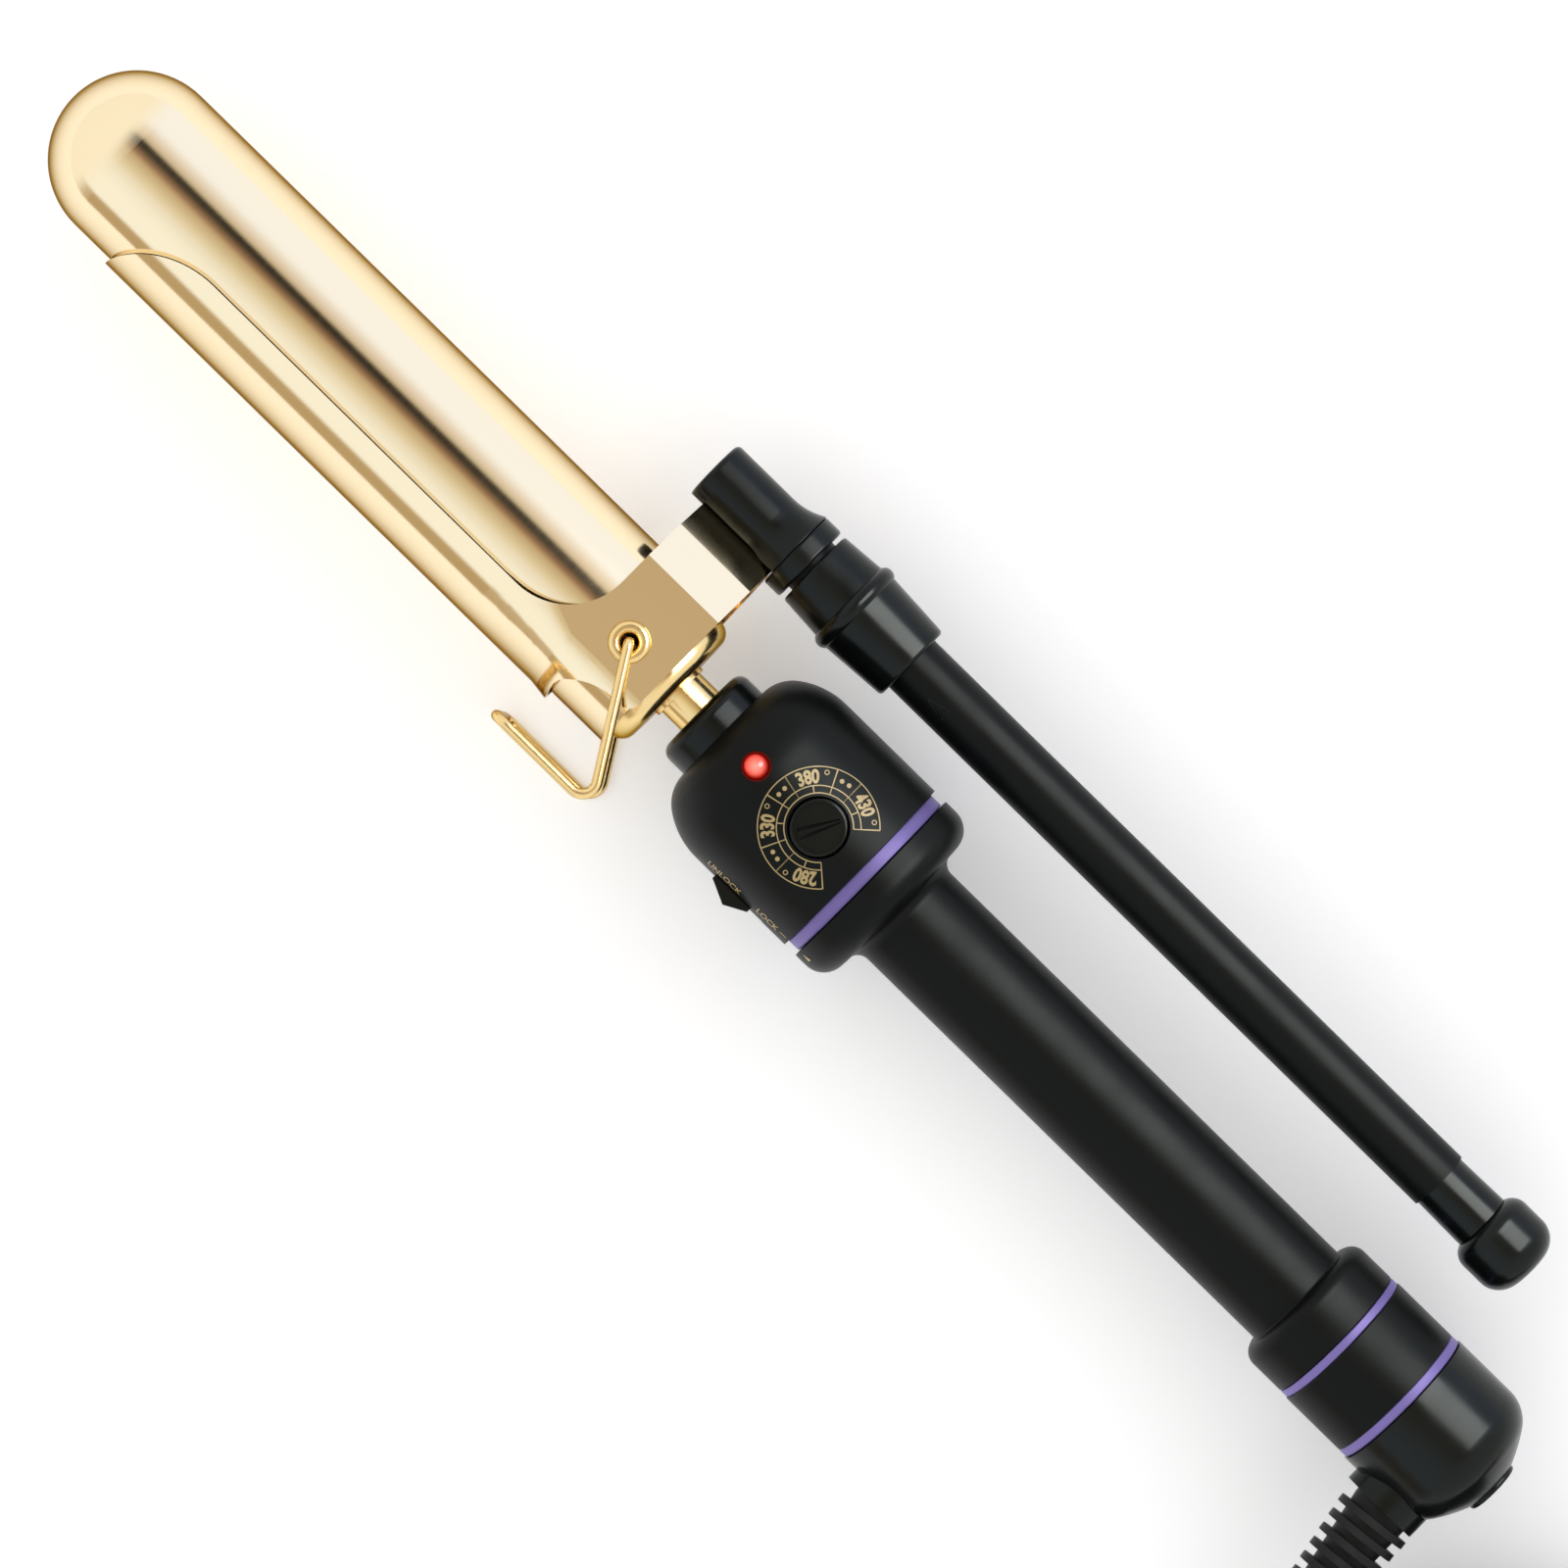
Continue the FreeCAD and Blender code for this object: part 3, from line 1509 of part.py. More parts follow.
IRON = [
    make_barrel, make_barrel_base_cap, make_stem, make_nose_collar, make_housing,
    make_indicator_light, make_indicator_legs, make_dial_knob, make_potentiometer,
    make_potentiometer_shaft, make_control_board, make_lock_slider, make_lock_bar,
    make_front_ring, make_core_tube, make_grip_sleeve, make_grip_bushes, make_grip_end_ring,
    make_rear_collar, make_swivel_ring, make_rear_cap, make_end_plug, make_swivel_post,
    make_slip_rings, make_contact_springs, make_heater_core, make_heater_sleeve,
    make_heater_spacers, make_temperature_sensor, make_heater_leads, make_power_wires,
    make_clamp_shell, make_pivot_rivets, make_stand_wire, make_lever_ferrule, make_yoke_screw,
    make_lever_ring, make_lever_front_bush, make_lever_collar, make_lever_tube,
    make_lever_neck, make_lever_knob, make_lever_rear_bush, make_lever_rod, make_lever_nut,
    make_strain_relief,
]
ON_THE_FLOOR = [make_cord, make_cord_coil, make_cord_tie, make_plug_body, make_plug_blades]

pieces = [make() for make in IRON]
for piece in pieces:
    lift(piece)
pieces += [make() for make in ON_THE_FLOOR]
doc.recompute()

for thing in doc.Objects:
    if "Invalid" in thing.State or "Error" in thing.State:
        raise RuntimeError("%s did not build: %s" % (thing.Label, thing.State))

os.makedirs("parts", exist_ok=True)
for piece in pieces:
    if piece.Shape.isNull() or not piece.Shape.isValid():
        raise RuntimeError("%s has no valid shape" % piece.Label)
    piece.Shape.exportStep("parts/%s.step" % piece.Label)
    limits = piece.Shape.BoundBox
    print("%-22s solids %d volume %9.1f  x %7.1f %7.1f  y %6.1f %6.1f  z %5.1f %5.1f"
          % (piece.Label, len(piece.Shape.Solids), piece.Shape.Volume, limits.XMin,
             limits.XMax, limits.YMin, limits.YMax, limits.ZMin, limits.ZMax))
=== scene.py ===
import json
import math

import bpy
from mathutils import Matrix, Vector


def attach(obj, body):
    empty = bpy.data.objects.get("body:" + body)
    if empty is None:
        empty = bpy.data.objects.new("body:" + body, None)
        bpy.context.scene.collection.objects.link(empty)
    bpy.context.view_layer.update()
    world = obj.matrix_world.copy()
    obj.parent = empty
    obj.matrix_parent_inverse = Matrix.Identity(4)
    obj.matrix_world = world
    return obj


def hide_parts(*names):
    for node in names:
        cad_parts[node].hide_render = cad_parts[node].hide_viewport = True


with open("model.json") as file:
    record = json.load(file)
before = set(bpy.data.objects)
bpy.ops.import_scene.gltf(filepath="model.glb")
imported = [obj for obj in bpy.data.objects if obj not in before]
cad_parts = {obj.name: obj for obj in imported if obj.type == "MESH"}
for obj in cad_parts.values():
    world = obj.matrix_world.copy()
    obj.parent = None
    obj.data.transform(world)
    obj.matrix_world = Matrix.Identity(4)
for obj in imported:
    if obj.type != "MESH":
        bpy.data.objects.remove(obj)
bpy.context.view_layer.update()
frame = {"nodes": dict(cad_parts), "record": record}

# --- where things are, in metres in the row frame -------------------------------------------

PIVOT = Vector((0.0377, 0.00758, 0.0202))
LEVER_Y = PIVOT.y - 0.03205
DIAL_X = PIVOT.x - 0.0460
LIGHT_X = PIVOT.x - 0.0308
LIGHT_RADIUS = 0.0025
HOUSING_RADIUS = 0.0189
LEVER_RADIUS = 0.00575


def along(millimetres):
    """Row X of a place on the iron, given in millimetres from the clamp's pivot."""
    return PIVOT.x + millimetres / 1000


# --- camera -----------------------------------------------------------------------------------

CAMERA_PLACE = (0.0013, 0.00638, 1.2362)
CAMERA_TURN = math.radians(-135.58)
CAMERA_LENS = 158.6


def make_camera():
    """Straight above, turned so that the iron lies from corner to corner."""
    data = bpy.data.cameras.new("camera")
    data.sensor_width = 36
    data.lens = CAMERA_LENS
    data.clip_end = 10
    camera = bpy.data.objects.new("camera", data)
    bpy.context.collection.objects.link(camera)
    camera.location = CAMERA_PLACE
    camera.rotation_euler = (0, 0, CAMERA_TURN)
    bpy.context.scene.camera = camera


# --- material helpers -------------------------------------------------------------------------

def new_material(name, color, roughness, metallic=0.0, **sockets):
    """A principled material with constant values."""
    material = bpy.data.materials.new(name)
    material.use_nodes = True
    shader = material.node_tree.nodes["Principled BSDF"]
    shader.inputs["Base Color"].default_value = (*color, 1)
    shader.inputs["Roughness"].default_value = roughness
    shader.inputs["Metallic"].default_value = metallic
    for socket, value in sockets.items():
        shader.inputs[socket.replace("_", " ")].default_value = value
    return material


def add_node(material, kind, **settings):
    node = material.node_tree.nodes.new(kind)
    for key, value in settings.items():
        setattr(node, key, value)
    return node


def add_noise(material, scale, detail=4.0, stretch=(1, 1, 1)):
    """Noise in the piece's own coordinates, which ride with it."""
    links = material.node_tree.links
    place = add_node(material, "ShaderNodeTexCoord")
    mapping = add_node(material, "ShaderNodeMapping")
    mapping.inputs["Scale"].default_value = stretch
    noise = add_node(material, "ShaderNodeTexNoise")
    noise.inputs["Scale"].default_value = scale
    noise.inputs["Detail"].default_value = detail
    links.new(place.outputs["Object"], mapping.inputs["Vector"])
    links.new(mapping.outputs["Vector"], noise.inputs["Vector"])
    return noise


def add_bump(material, source, strength, distance):
    bump = add_node(material, "ShaderNodeBump")
    bump.inputs["Strength"].default_value = strength
    bump.inputs["Distance"].default_value = distance
    shader = material.node_tree.nodes["Principled BSDF"]
    material.node_tree.links.new(source.outputs[0], bump.inputs["Height"])
    material.node_tree.links.new(bump.outputs["Normal"], shader.inputs["Normal"])


def vary_roughness(material, source, low, high):
    """Roughness between low and high, following the source's value."""
    spread = add_node(material, "ShaderNodeMapRange")
    spread.inputs["From Min"].default_value = 0.3
    spread.inputs["From Max"].default_value = 0.7
    spread.inputs["To Min"].default_value = low
    spread.inputs["To Max"].default_value = high
    shader = material.node_tree.nodes["Principled BSDF"]
    material.node_tree.links.new(source.outputs[0], spread.inputs["Value"])
    material.node_tree.links.new(spread.outputs["Result"], shader.inputs["Roughness"])


# --- materials --------------------------------------------------------------------------------

# The colours, edge tints and specular levels of the gold and the blacks were chosen to look right
# under this stage's fitted light. They aren't measured values of real metals and plastics: the
# edge tints are darker than real gold's, and the specular levels are below a real plastic's 0.5.

def polished_gold():
    """Gold plated sheet, with the faint drawing lines that run round a tube."""
    material = new_material("polished_gold", (0.93, 0.78, 0.52), 0.12, 1.0,
                            Specular_Tint=(0.25, 0.14, 0.04, 1))
    vary_roughness(material, add_noise(material, 60, 5, (40, 1, 1)), 0.10, 0.12)
    return material


def satin_gold():
    material = new_material("satin_gold", (0.86, 0.64, 0.30), 0.2, 1.0,
                            Specular_Tint=(0.36, 0.23, 0.07, 1))
    vary_roughness(material, add_noise(material, 120, 4, (12, 1, 1)), 0.14, 0.24)
    return material


# tint of the black plastics' highlights, chosen
BLACK_TINT = (0.92, 1.0, 0.95, 1)


def matte_black():
    """Soft-touch paint: a fine even grain."""
    material = new_material("matte_black", (0.0025, 0.0028, 0.0026), 0.42, 0.0,
                            Specular_IOR_Level=0.13, Specular_Tint=BLACK_TINT)
    add_bump(material, add_noise(material, 2600, 3), 0.12, 0.0001)
    vary_roughness(material, add_noise(material, 90, 4), 0.36, 0.44)
    return material


def gloss_black():
    material = new_material("gloss_black", (0.002, 0.0026, 0.0024), 0.16, 0.0,
                            Specular_IOR_Level=0.24, Specular_Tint=BLACK_TINT)
    vary_roughness(material, add_noise(material, 150, 5), 0.20, 0.27)
    return material


def purple():
    """A violet ring with fine turning lines."""
    material = new_material("purple", (0.215, 0.165, 0.44), 0.42, 0.12, Specular_IOR_Level=0.16)
    vary_roughness(material, add_noise(material, 200, 4, (30, 1, 1)), 0.36, 0.50)
    return material


def red_lens():
    """A lit lens, glowing a little: a painted highlight makes it pale over the lamp in its middle,
    and painted shade makes it deep red at its rim.
    """
    material = new_material("red_lens", (0.80, 0.035, 0.02), 0.12, 0.0)
    links = material.node_tree.links
    shader = material.node_tree.nodes["Principled BSDF"]
    place = add_node(material, "ShaderNodeTexCoord")
    reach = add_node(material, "ShaderNodeVectorMath", operation="DISTANCE")
    reach.inputs[1].default_value = (LIGHT_X, PIVOT.y, PIVOT.z + HOUSING_RADIUS)
    glow_and_highlight = add_node(material, "ShaderNodeMapRange")
    glow_and_highlight.inputs["From Min"].default_value = 0.0
    glow_and_highlight.inputs["From Max"].default_value = LIGHT_RADIUS
    # the ramp paints a highlight in the middle that darkens to painted shade at the rim; the same
    # colour also sets the glow
    ramp = add_node(material, "ShaderNodeValToRGB")
    stops = ramp.color_ramp.elements
    stops[0].color = (1.0, 0.34, 0.27, 1)
    stops[1].color = (0.30, 0.005, 0.003, 1)
    stops.new(0.45).color = (0.95, 0.16, 0.11, 1)
    stops.new(0.8).color = (0.72, 0.04, 0.025, 1)
    links.new(place.outputs["Object"], reach.inputs[0])
    links.new(reach.outputs["Value"], glow_and_highlight.inputs["Value"])
    links.new(glow_and_highlight.outputs["Result"], ramp.inputs["Fac"])
    links.new(ramp.outputs["Color"], shader.inputs["Base Color"])
    links.new(ramp.outputs["Color"], shader.inputs["Emission Color"])
    shader.inputs["Emission Strength"].default_value = 0.3
    vary_roughness(material, add_noise(material, 900, 3), 0.08, 0.16)
    return material


def black_rubber():
    material = new_material("black_rubber", (0.005, 0.005, 0.005), 0.5, 0.0,
                            Specular_IOR_Level=0.24)
    add_bump(material, add_noise(material, 1800, 4), 0.15, 0.0001)
    vary_roughness(material, add_noise(material, 220, 4), 0.42, 0.56)
    return material


def strap_fabric():
    material = new_material("strap_fabric", (0.02, 0.02, 0.02), 0.8, 0.0)
    add_bump(material, add_noise(material, 3200, 2), 0.5, 0.0003)
    return material


def machined_metal(name, color):
    material = new_material(name, color, 0.3, 1.0)
    vary_roughness(material, add_noise(material, 300, 4, (20, 1, 1)), 0.22, 0.38)
    return material


def plain_plastic(name, color, roughness):
    material = new_material(name, color, roughness, 0.0)
    vary_roughness(material, add_noise(material, 200, 4), roughness - 0.05, roughness + 0.07)
    return material


def print_gold():
    """The printing on the housing: numbers, arcs and words."""
    material = new_material("print_gold", (0.42, 0.31, 0.125), 0.5, 0.1)
    vary_roughness(material, add_noise(material, 500, 3), 0.38, 0.52)
    return material


def make_materials():
    return {
        "polished_gold": polished_gold(),
        "satin_gold": satin_gold(),
        "matte_black": matte_black(),
        "gloss_black": gloss_black(),
        "purple": purple(),
        "red_lens": red_lens(),
        "black_rubber": black_rubber(),
        "tie_black": strap_fabric(),
        "steel": machined_metal("steel", (0.55, 0.55, 0.55)),
        "plain_brass": machined_metal("plain_brass", (0.72, 0.55, 0.26)),
        "copper": machined_metal("copper", (0.72, 0.40, 0.24)),
        "ceramic": plain_plastic("ceramic", (0.72, 0.69, 0.62), 0.7),
        "mica": plain_plastic("mica", (0.48, 0.40, 0.26), 0.5),
        "circuit_board": plain_plastic("circuit_board", (0.02, 0.16, 0.05), 0.35),
        "white_nylon": plain_plastic("white_nylon", (0.7, 0.69, 0.64), 0.45),
        "wire_insulation": plain_plastic("wire_insulation", (0.65, 0.65, 0.62), 0.5),
        "print_gold": print_gold(),
    }


# --- the cord ---------------------------------------------------------------------------------

CORD_DIAMETER = 0.006
CORD_EXIT = (-0.16563, 0.04782, 0.0202)
ROUTE = [
    CORD_EXIT,
    (-0.1680, 0.0670, 0.0184),
    (-0.1785, 0.0836, 0.0126),
    (-0.1960, 0.0916, 0.0062),
    (-0.2155, 0.0913, 0.0030),
]
COIL_CENTRE = (-0.2220, 0.0493)
# radius and height of each turn, in diameters, in the order in which they are wound
TURNS = [(7, 0.5), (6, 0.5), (5, 0.5), (4, 0.5), (4, 1.5), (4, 2.5),
         (5, 2.5), (5, 1.5), (6, 1.5), (6, 2.5), (7, 2.5)]
POINTS_PER_TURN = 16
COIL_START = math.radians(90)
# the part of a turn in which the cord steps over to the next one
CROSSING = 0.2
# where the last turn is heading, and how far it gets there
LAST_TARGET = (7, 1.4)
LAST_SHARE = 0.3
# the end of the coil sinks towards the table on its way to the plug, in diameters
LEAVING_RADIUS = 7
LEAVING_HEIGHT = 2.1
LEAVING_DROP = 0.27
LEAVING_POINTS = 4
PLUG_LEAD = [(-0.2622, 0.0340, 0.0072), (-0.2607, 0.0262, 0.0070), (-0.2597, 0.0205, 0.0070)]


def coil_point(step, radius, height):
    """The point of a turn at that step, with its radius and height in diameters."""
    angle = COIL_START + 2 * math.pi * (step + 0.5) / POINTS_PER_TURN
    return (COIL_CENTRE[0] + radius * CORD_DIAMETER * math.cos(angle),
            COIL_CENTRE[1] + radius * CORD_DIAMETER * math.sin(angle),
            height * CORD_DIAMETER)


def coil_points():
    """The turns, each a diameter from its neighbours, starting on the side away from the iron."""
    points = []
    for count, (radius, height) in enumerate(TURNS):
        last = count + 1 == len(TURNS)
        next_radius, next_height = LAST_TARGET if last else TURNS[count + 1]
        for step in range(POINTS_PER_TURN):
            crossed = step + 1 - POINTS_PER_TURN * (1 - CROSSING)
            share = max(0.0, crossed / (POINTS_PER_TURN * CROSSING))
            if last:
                share = step / POINTS_PER_TURN * LAST_SHARE
            points.append(coil_point(step, radius + (next_radius - radius) * share,
                                     height + (next_height - height) * share))
    for step in range(LEAVING_POINTS):
        points.append(coil_point(step, LEAVING_RADIUS, LEAVING_HEIGHT - step * LEAVING_DROP))
    return points


def make_cord(materials):
    data = bpy.data.curves.new("cord_line", "CURVE")
    data.dimensions = "3D"
    data.bevel_depth = CORD_DIAMETER / 2
    data.bevel_resolution = 5
    data.resolution_u = 5
    data.use_fill_caps = True
    spline = data.splines.new("NURBS")
    route = ROUTE + coil_points() + PLUG_LEAD
    spline.points.add(len(route) - 1)
    for point, place in zip(spline.points, route):
        point.co = (*place, 1)
    spline.order_u = 3
    spline.use_endpoint_u = True
    cord = bpy.data.objects.new("cord_line", data)
    bpy.context.collection.objects.link(cord)
    data.materials.append(materials["black_rubber"])
    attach(cord, "cord_end")
    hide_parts("cord", "cord_coil")


# --- CAD pieces shown as they are, with their material and softened edges -----------------------

# the pieces with sharp moulded corners, and the width in metres that rounds them
SOFT_CORNERS = {
    "dial_knob": 0.00015,
    "lock_slider": 0.0002,
    "cord_tie": 0.0006,
    "plug_body": 0.0010,
    "control_board": 0.0002,
}


def soften_corners(node, width):
    bevel = node.modifiers.new("soft_corners", "BEVEL")
    bevel.width = width
    bevel.segments = 3
    bevel.limit_method = "ANGLE"
    bevel.angle_limit = math.radians(35)


def dress_cad_pieces(materials):
    slots = {part["node"]: part["material_slot"] for part in frame["record"]["subparts"]}
    for name, node in frame["nodes"].items():
        node.data.materials.clear()
        node.data.materials.append(materials[slots[name]])
        for polygon in node.data.polygons:
            polygon.use_smooth = True
        if name in SOFT_CORNERS:
            soften_corners(node, SOFT_CORNERS[name])


# --- printing on the housing --------------------------------------------------------------------

PRINT_LIFT = 0.00007
# the direction of the grip seen from the dial, in degrees
TAIL = 180.0
# height of a capital letter as a share of the built-in font's size
CAPITAL = 0.72
DOT_SIDES = 14
RING_SIDES = 16


def link_mesh(name, vertices, faces, material, body):
    mesh = bpy.data.meshes.new(name)
    mesh.from_pydata(vertices, [], faces)
    mesh.materials.append(material)
    thing = bpy.data.objects.new(name, mesh)
    bpy.context.collection.objects.link(thing)
    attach(thing, body)
    return thing


def on_housing(x, y):
    """The point of the housing straight below a place in the dial's plane, in millimetres."""
    reach = HOUSING_RADIUS + PRINT_LIFT
    height = math.sqrt(reach ** 2 - (y / 1000) ** 2)
    return (DIAL_X + x / 1000, PIVOT.y + y / 1000, PIVOT.z + height)


def polar(radius, degrees):
    angle = math.radians(degrees)
    return (radius * math.cos(angle), radius * math.sin(angle))


class Print:
    """Flat shapes in the dial's plane, gathered and laid on the housing as one piece."""

    def __init__(self, place=on_housing):
        self.vertices = []
        self.faces = []
        self.place = place

    def strip(self, left, right):
        start = len(self.vertices)
        count = len(left)
        for a, b in zip(left, right):
            self.vertices += [self.place(*a), self.place(*b)]
        for step in range(count - 1):
            first = start + 2 * step
            self.faces.append((first, first + 1, first + 3, first + 2))

    def arc(self, radius, first, last, width):
        steps = max(2, int(abs(last - first) / 3))
        angles = [first + (last - first) * k / steps for k in range(steps + 1)]
        self.strip([polar(radius - width / 2, a) for a in angles],
                   [polar(radius + width / 2, a) for a in angles])

    def spoke(self, inner, outer, degrees, width):
        half = math.degrees(width / 2 / ((inner + outer) / 2))
        radii = [inner + (outer - inner) * k / 3 for k in range(4)]
        self.strip([polar(r, degrees - half) for r in radii],
                   [polar(r, degrees + half) for r in radii])

    def dot(self, radius, degrees, size):
        x, y = polar(radius, degrees)
        start = len(self.vertices)
        for side in range(DOT_SIDES):
            dx, dy = polar(size, 360 * side / DOT_SIDES)
            self.vertices.append(self.place(x + dx, y + dy))
        self.faces.append(tuple(range(start, start + DOT_SIDES)))

    def ring(self, x, y, radius, width):
        turn = [360 * k / RING_SIDES for k in range(RING_SIDES + 1)]
        inner = [polar(radius - width / 2, a) for a in turn]
        outer = [polar(radius + width / 2, a) for a in turn]
        self.strip([(x + a, y + b) for a, b in inner], [(x + a, y + b) for a, b in outer])

    def words(self, text, height, narrow, transform, bold=0.012):
        """Lettering of that height, drawn with the plain built-in font."""
        data = bpy.data.curves.new("lettering", "FONT")
        data.body = text
        data.size = height / CAPITAL
        data.offset = bold * height
        data.resolution_u = 3
        data.align_x = "CENTER"
        carrier = bpy.data.objects.new("lettering", data)
        mesh = bpy.data.meshes.new_from_object(carrier)
        start = len(self.vertices)
        for vertex in mesh.vertices:
            self.vertices.append(self.place(*transform(vertex.co.x * narrow, vertex.co.y)))
        for polygon in mesh.polygons:
            self.faces.append(tuple(start + index for index in polygon.vertices))
        bpy.data.objects.remove(carrier)
        bpy.data.meshes.remove(mesh)
        bpy.data.curves.remove(data)


# the dial's scale, in millimetres and degrees
SCALE_OPEN = 41.8
SCALE_SIDE = 116.0
SCALE_TOP = 168.0
SCALE_RADII = (6.05, 7.35, 10.65)
LINE = 0.2
DOT_RADIUS = 0.42
DOT_OFFSET = 4.6
NUMBER_HEIGHT = 2.4
NUMBER_NARROW = 0.82
NUMBER_BOLD = 0.05
NUMBER_BASE = 7.8
NUMBER_MIDDLE = 9.0
NUMBER_SHIFT = -0.75
DEGREE_X = 3.3
DEGREE_DROP = 0.5
DEGREE_RADIUS = 0.38
DEGREE_LINE = 0.17
SCALE_CELLS = [
    # half of the scale: the edges of each cell, as angles from the tail, and what it holds
    (SCALE_OPEN, 90.0, "number"),
    (90.0, SCALE_SIDE, "dots"),
    (SCALE_SIDE, SCALE_TOP, "number"),
    (SCALE_TOP, 360 - SCALE_TOP, "dots"),
]
# the numbers, by side of the scale and first edge of the cell
NUMBERS = {(-1, SCALE_OPEN): "280", (-1, SCALE_SIDE): "330",
           (1, SCALE_OPEN): "430", (1, SCALE_SIDE): "380"}


def make_dial_print(materials):
    """Three arcs, cells with numbers or two dots, and short ticks, open towards the grip."""
    inner, middle, outer = SCALE_RADII
    ink = Print()
    first = TAIL + SCALE_OPEN
    last = TAIL + 360 - SCALE_OPEN
    for radius in SCALE_RADII:
        ink.arc(radius, first, last, LINE)
    for side in (1, -1):
        for start, end, kind in SCALE_CELLS:
            if side == -1 and start == SCALE_TOP:
                continue
            centre = TAIL + side * (start + end) / 2
            ink.spoke(inner, outer, TAIL + side * start, LINE)
            if kind == "dots":
                for offset in (-DOT_OFFSET, DOT_OFFSET):
                    ink.dot((middle + outer) / 2, centre + offset, DOT_RADIUS)
                continue
            ink.spoke(inner, middle, centre, LINE)
            ink.spoke(inner, outer, TAIL + side * end, LINE)
            add_number(ink, NUMBERS[(side, start)], centre)
    link_mesh("dial_print", ink.vertices, ink.faces, materials["print_gold"], "handle")


def add_number(ink, text, degrees):
    """A number curved along the scale with its top outwards, and a small degree ring."""
    def curve(x, y):
        # text runs clockwise seen from above, so its x goes against the angle
        radius = NUMBER_BASE + y
        angle = math.radians(degrees) - (x + NUMBER_SHIFT) / NUMBER_MIDDLE
        return (radius * math.cos(angle), radius * math.sin(angle))

    ink.words(text, NUMBER_HEIGHT, NUMBER_NARROW, curve, NUMBER_BOLD)
    x, y = curve(DEGREE_X, NUMBER_HEIGHT - DEGREE_DROP)
    ink.ring(x, y, DEGREE_RADIUS, DEGREE_LINE)


# the words beside the lock, in millimetres along the axis and round the housing
LOCK_WORD_HEIGHT = 2.2
LOCK_WORD_NARROW = 0.62
LOCK_WORD_BASE = 24.2
UNLOCK_X = -40.4
LOCK_X = -50.9
DASH_X = (-54.0, -55.5)
DASH_ARC = (22.9, 23.2)
GRIP_ARROW = ((-59.6, 23.0), (-61.3, 22.3), (-61.3, 23.7))


def on_side(x, arc):
    """A place on the housing by its length along the axis and its arc from the top, in mm."""
    reach = HOUSING_RADIUS + PRINT_LIFT
    angle = arc / 1000 / HOUSING_RADIUS
    return (along(x), PIVOT.y + reach * math.sin(angle), PIVOT.z + reach * math.cos(angle))


def make_lock_words(materials):
    """UNLOCK and LOCK beside the slider, read with the iron's tip to the left."""
    ink = Print(on_side)

    def at(centre):
        return lambda x, y: (centre - x, LOCK_WORD_BASE - y)

    ink.words("UNLOCK", LOCK_WORD_HEIGHT, LOCK_WORD_NARROW, at(UNLOCK_X))
    ink.words("LOCK", LOCK_WORD_HEIGHT, LOCK_WORD_NARROW, at(LOCK_X))
    low, high = DASH_ARC
    ink.strip([(x, low) for x in DASH_X], [(x, high) for x in DASH_X])
    link_mesh("lock_words", ink.vertices, ink.faces, materials["print_gold"], "handle")


def make_grip_mark(materials):
    """The small arrow on the grip's flange that shows where the lock can enter."""
    ink = Print(on_side)
    start = len(ink.vertices)
    for x, arc in GRIP_ARROW:
        ink.vertices.append(on_side(x, arc))
    ink.faces.append((start, start + 1, start + 2))
    link_mesh("grip_mark", ink.vertices, ink.faces, materials["print_gold"], "grip")


def on_lever(x, arc):
    """A place on the lever's tube by its length along the axis and its arc from the top, in mm."""
    reach = LEVER_RADIUS + PRINT_LIFT
    angle = arc / 1000 / LEVER_RADIUS
    return (along(x), LEVER_Y + reach * math.sin(angle), PIVOT.z + reach * math.cos(angle))


LEVER_MARK = [(-44.0, 2.6), (-48.2, 1.4), (-48.2, 3.8), (-44.0, 2.6)]
MARK_LINE = 0.16


def make_lever_mark(materials):
    """The fine outline of a triangle moulded into the lever's tube."""
    ink = Print(on_lever)
    for (x0, a0), (x1, a1) in zip(LEVER_MARK, LEVER_MARK[1:]):
        length = math.hypot(x1 - x0, a1 - a0)
        dx = -(a1 - a0) / length * MARK_LINE / 2
        da = (x1 - x0) / length * MARK_LINE / 2
        ink.strip([(x0 + dx, a0 + da), (x1 + dx, a1 + da)],
                  [(x0 - dx, a0 - da), (x1 - dx, a1 - da)])
    link_mesh("lever_mark", ink.vertices, ink.faces, materials["gloss_black"], "lever_grip")


# --- grip bars on the wall plug -----------------------------------------------------------------

# where the plug's back is, its heading and its height, in metres
PLUG_PLACE = Vector((-0.2578, 0.0105, 0.0140))
PLUG_HEADING = math.radians(280)
GRIP_BARS = 5
GRIP_BAR_FIRST = 0.0075
GRIP_BAR_PITCH = 0.0032
GRIP_BAR_SIZE = (0.0016, 0.0120, 0.0012)
GRIP_BAR_RISE = 0.0006
GRIP_BAR_CORNER = 0.0004
# the sides of a bar, by the order in which its corners are made
BAR_FACES = ((3, 2, 1, 0), (4, 5, 6, 7), (0, 1, 5, 4), (1, 2, 6, 5), (2, 3, 7, 6), (3, 0, 4, 7))


def make_plug_grips(materials):
    """Raised bars across the plug's upper face, to pull it by."""
    length, width, height = GRIP_BAR_SIZE
    heading = Vector((math.cos(PLUG_HEADING), math.sin(PLUG_HEADING), 0))
    across = Vector((-heading.y, heading.x, 0))
    vertices = []
    faces = []
    for bar in range(GRIP_BARS):
        first = len(vertices)
        start = GRIP_BAR_FIRST + bar * GRIP_BAR_PITCH
        for up in (GRIP_BAR_RISE - height, GRIP_BAR_RISE):
            for reach, side in ((0, -1), (length, -1), (length, 1), (0, 1)):
                place = PLUG_PLACE + heading * (start + reach) + across * (side * width / 2)
                vertices.append((place.x, place.y, place.z + up))
        faces += [tuple(first + corner for corner in face) for face in BAR_FACES]
    bars = link_mesh("plug_grips", vertices, faces, materials["black_rubber"], "cord_end")
    soften_corners(bars, GRIP_BAR_CORNER)
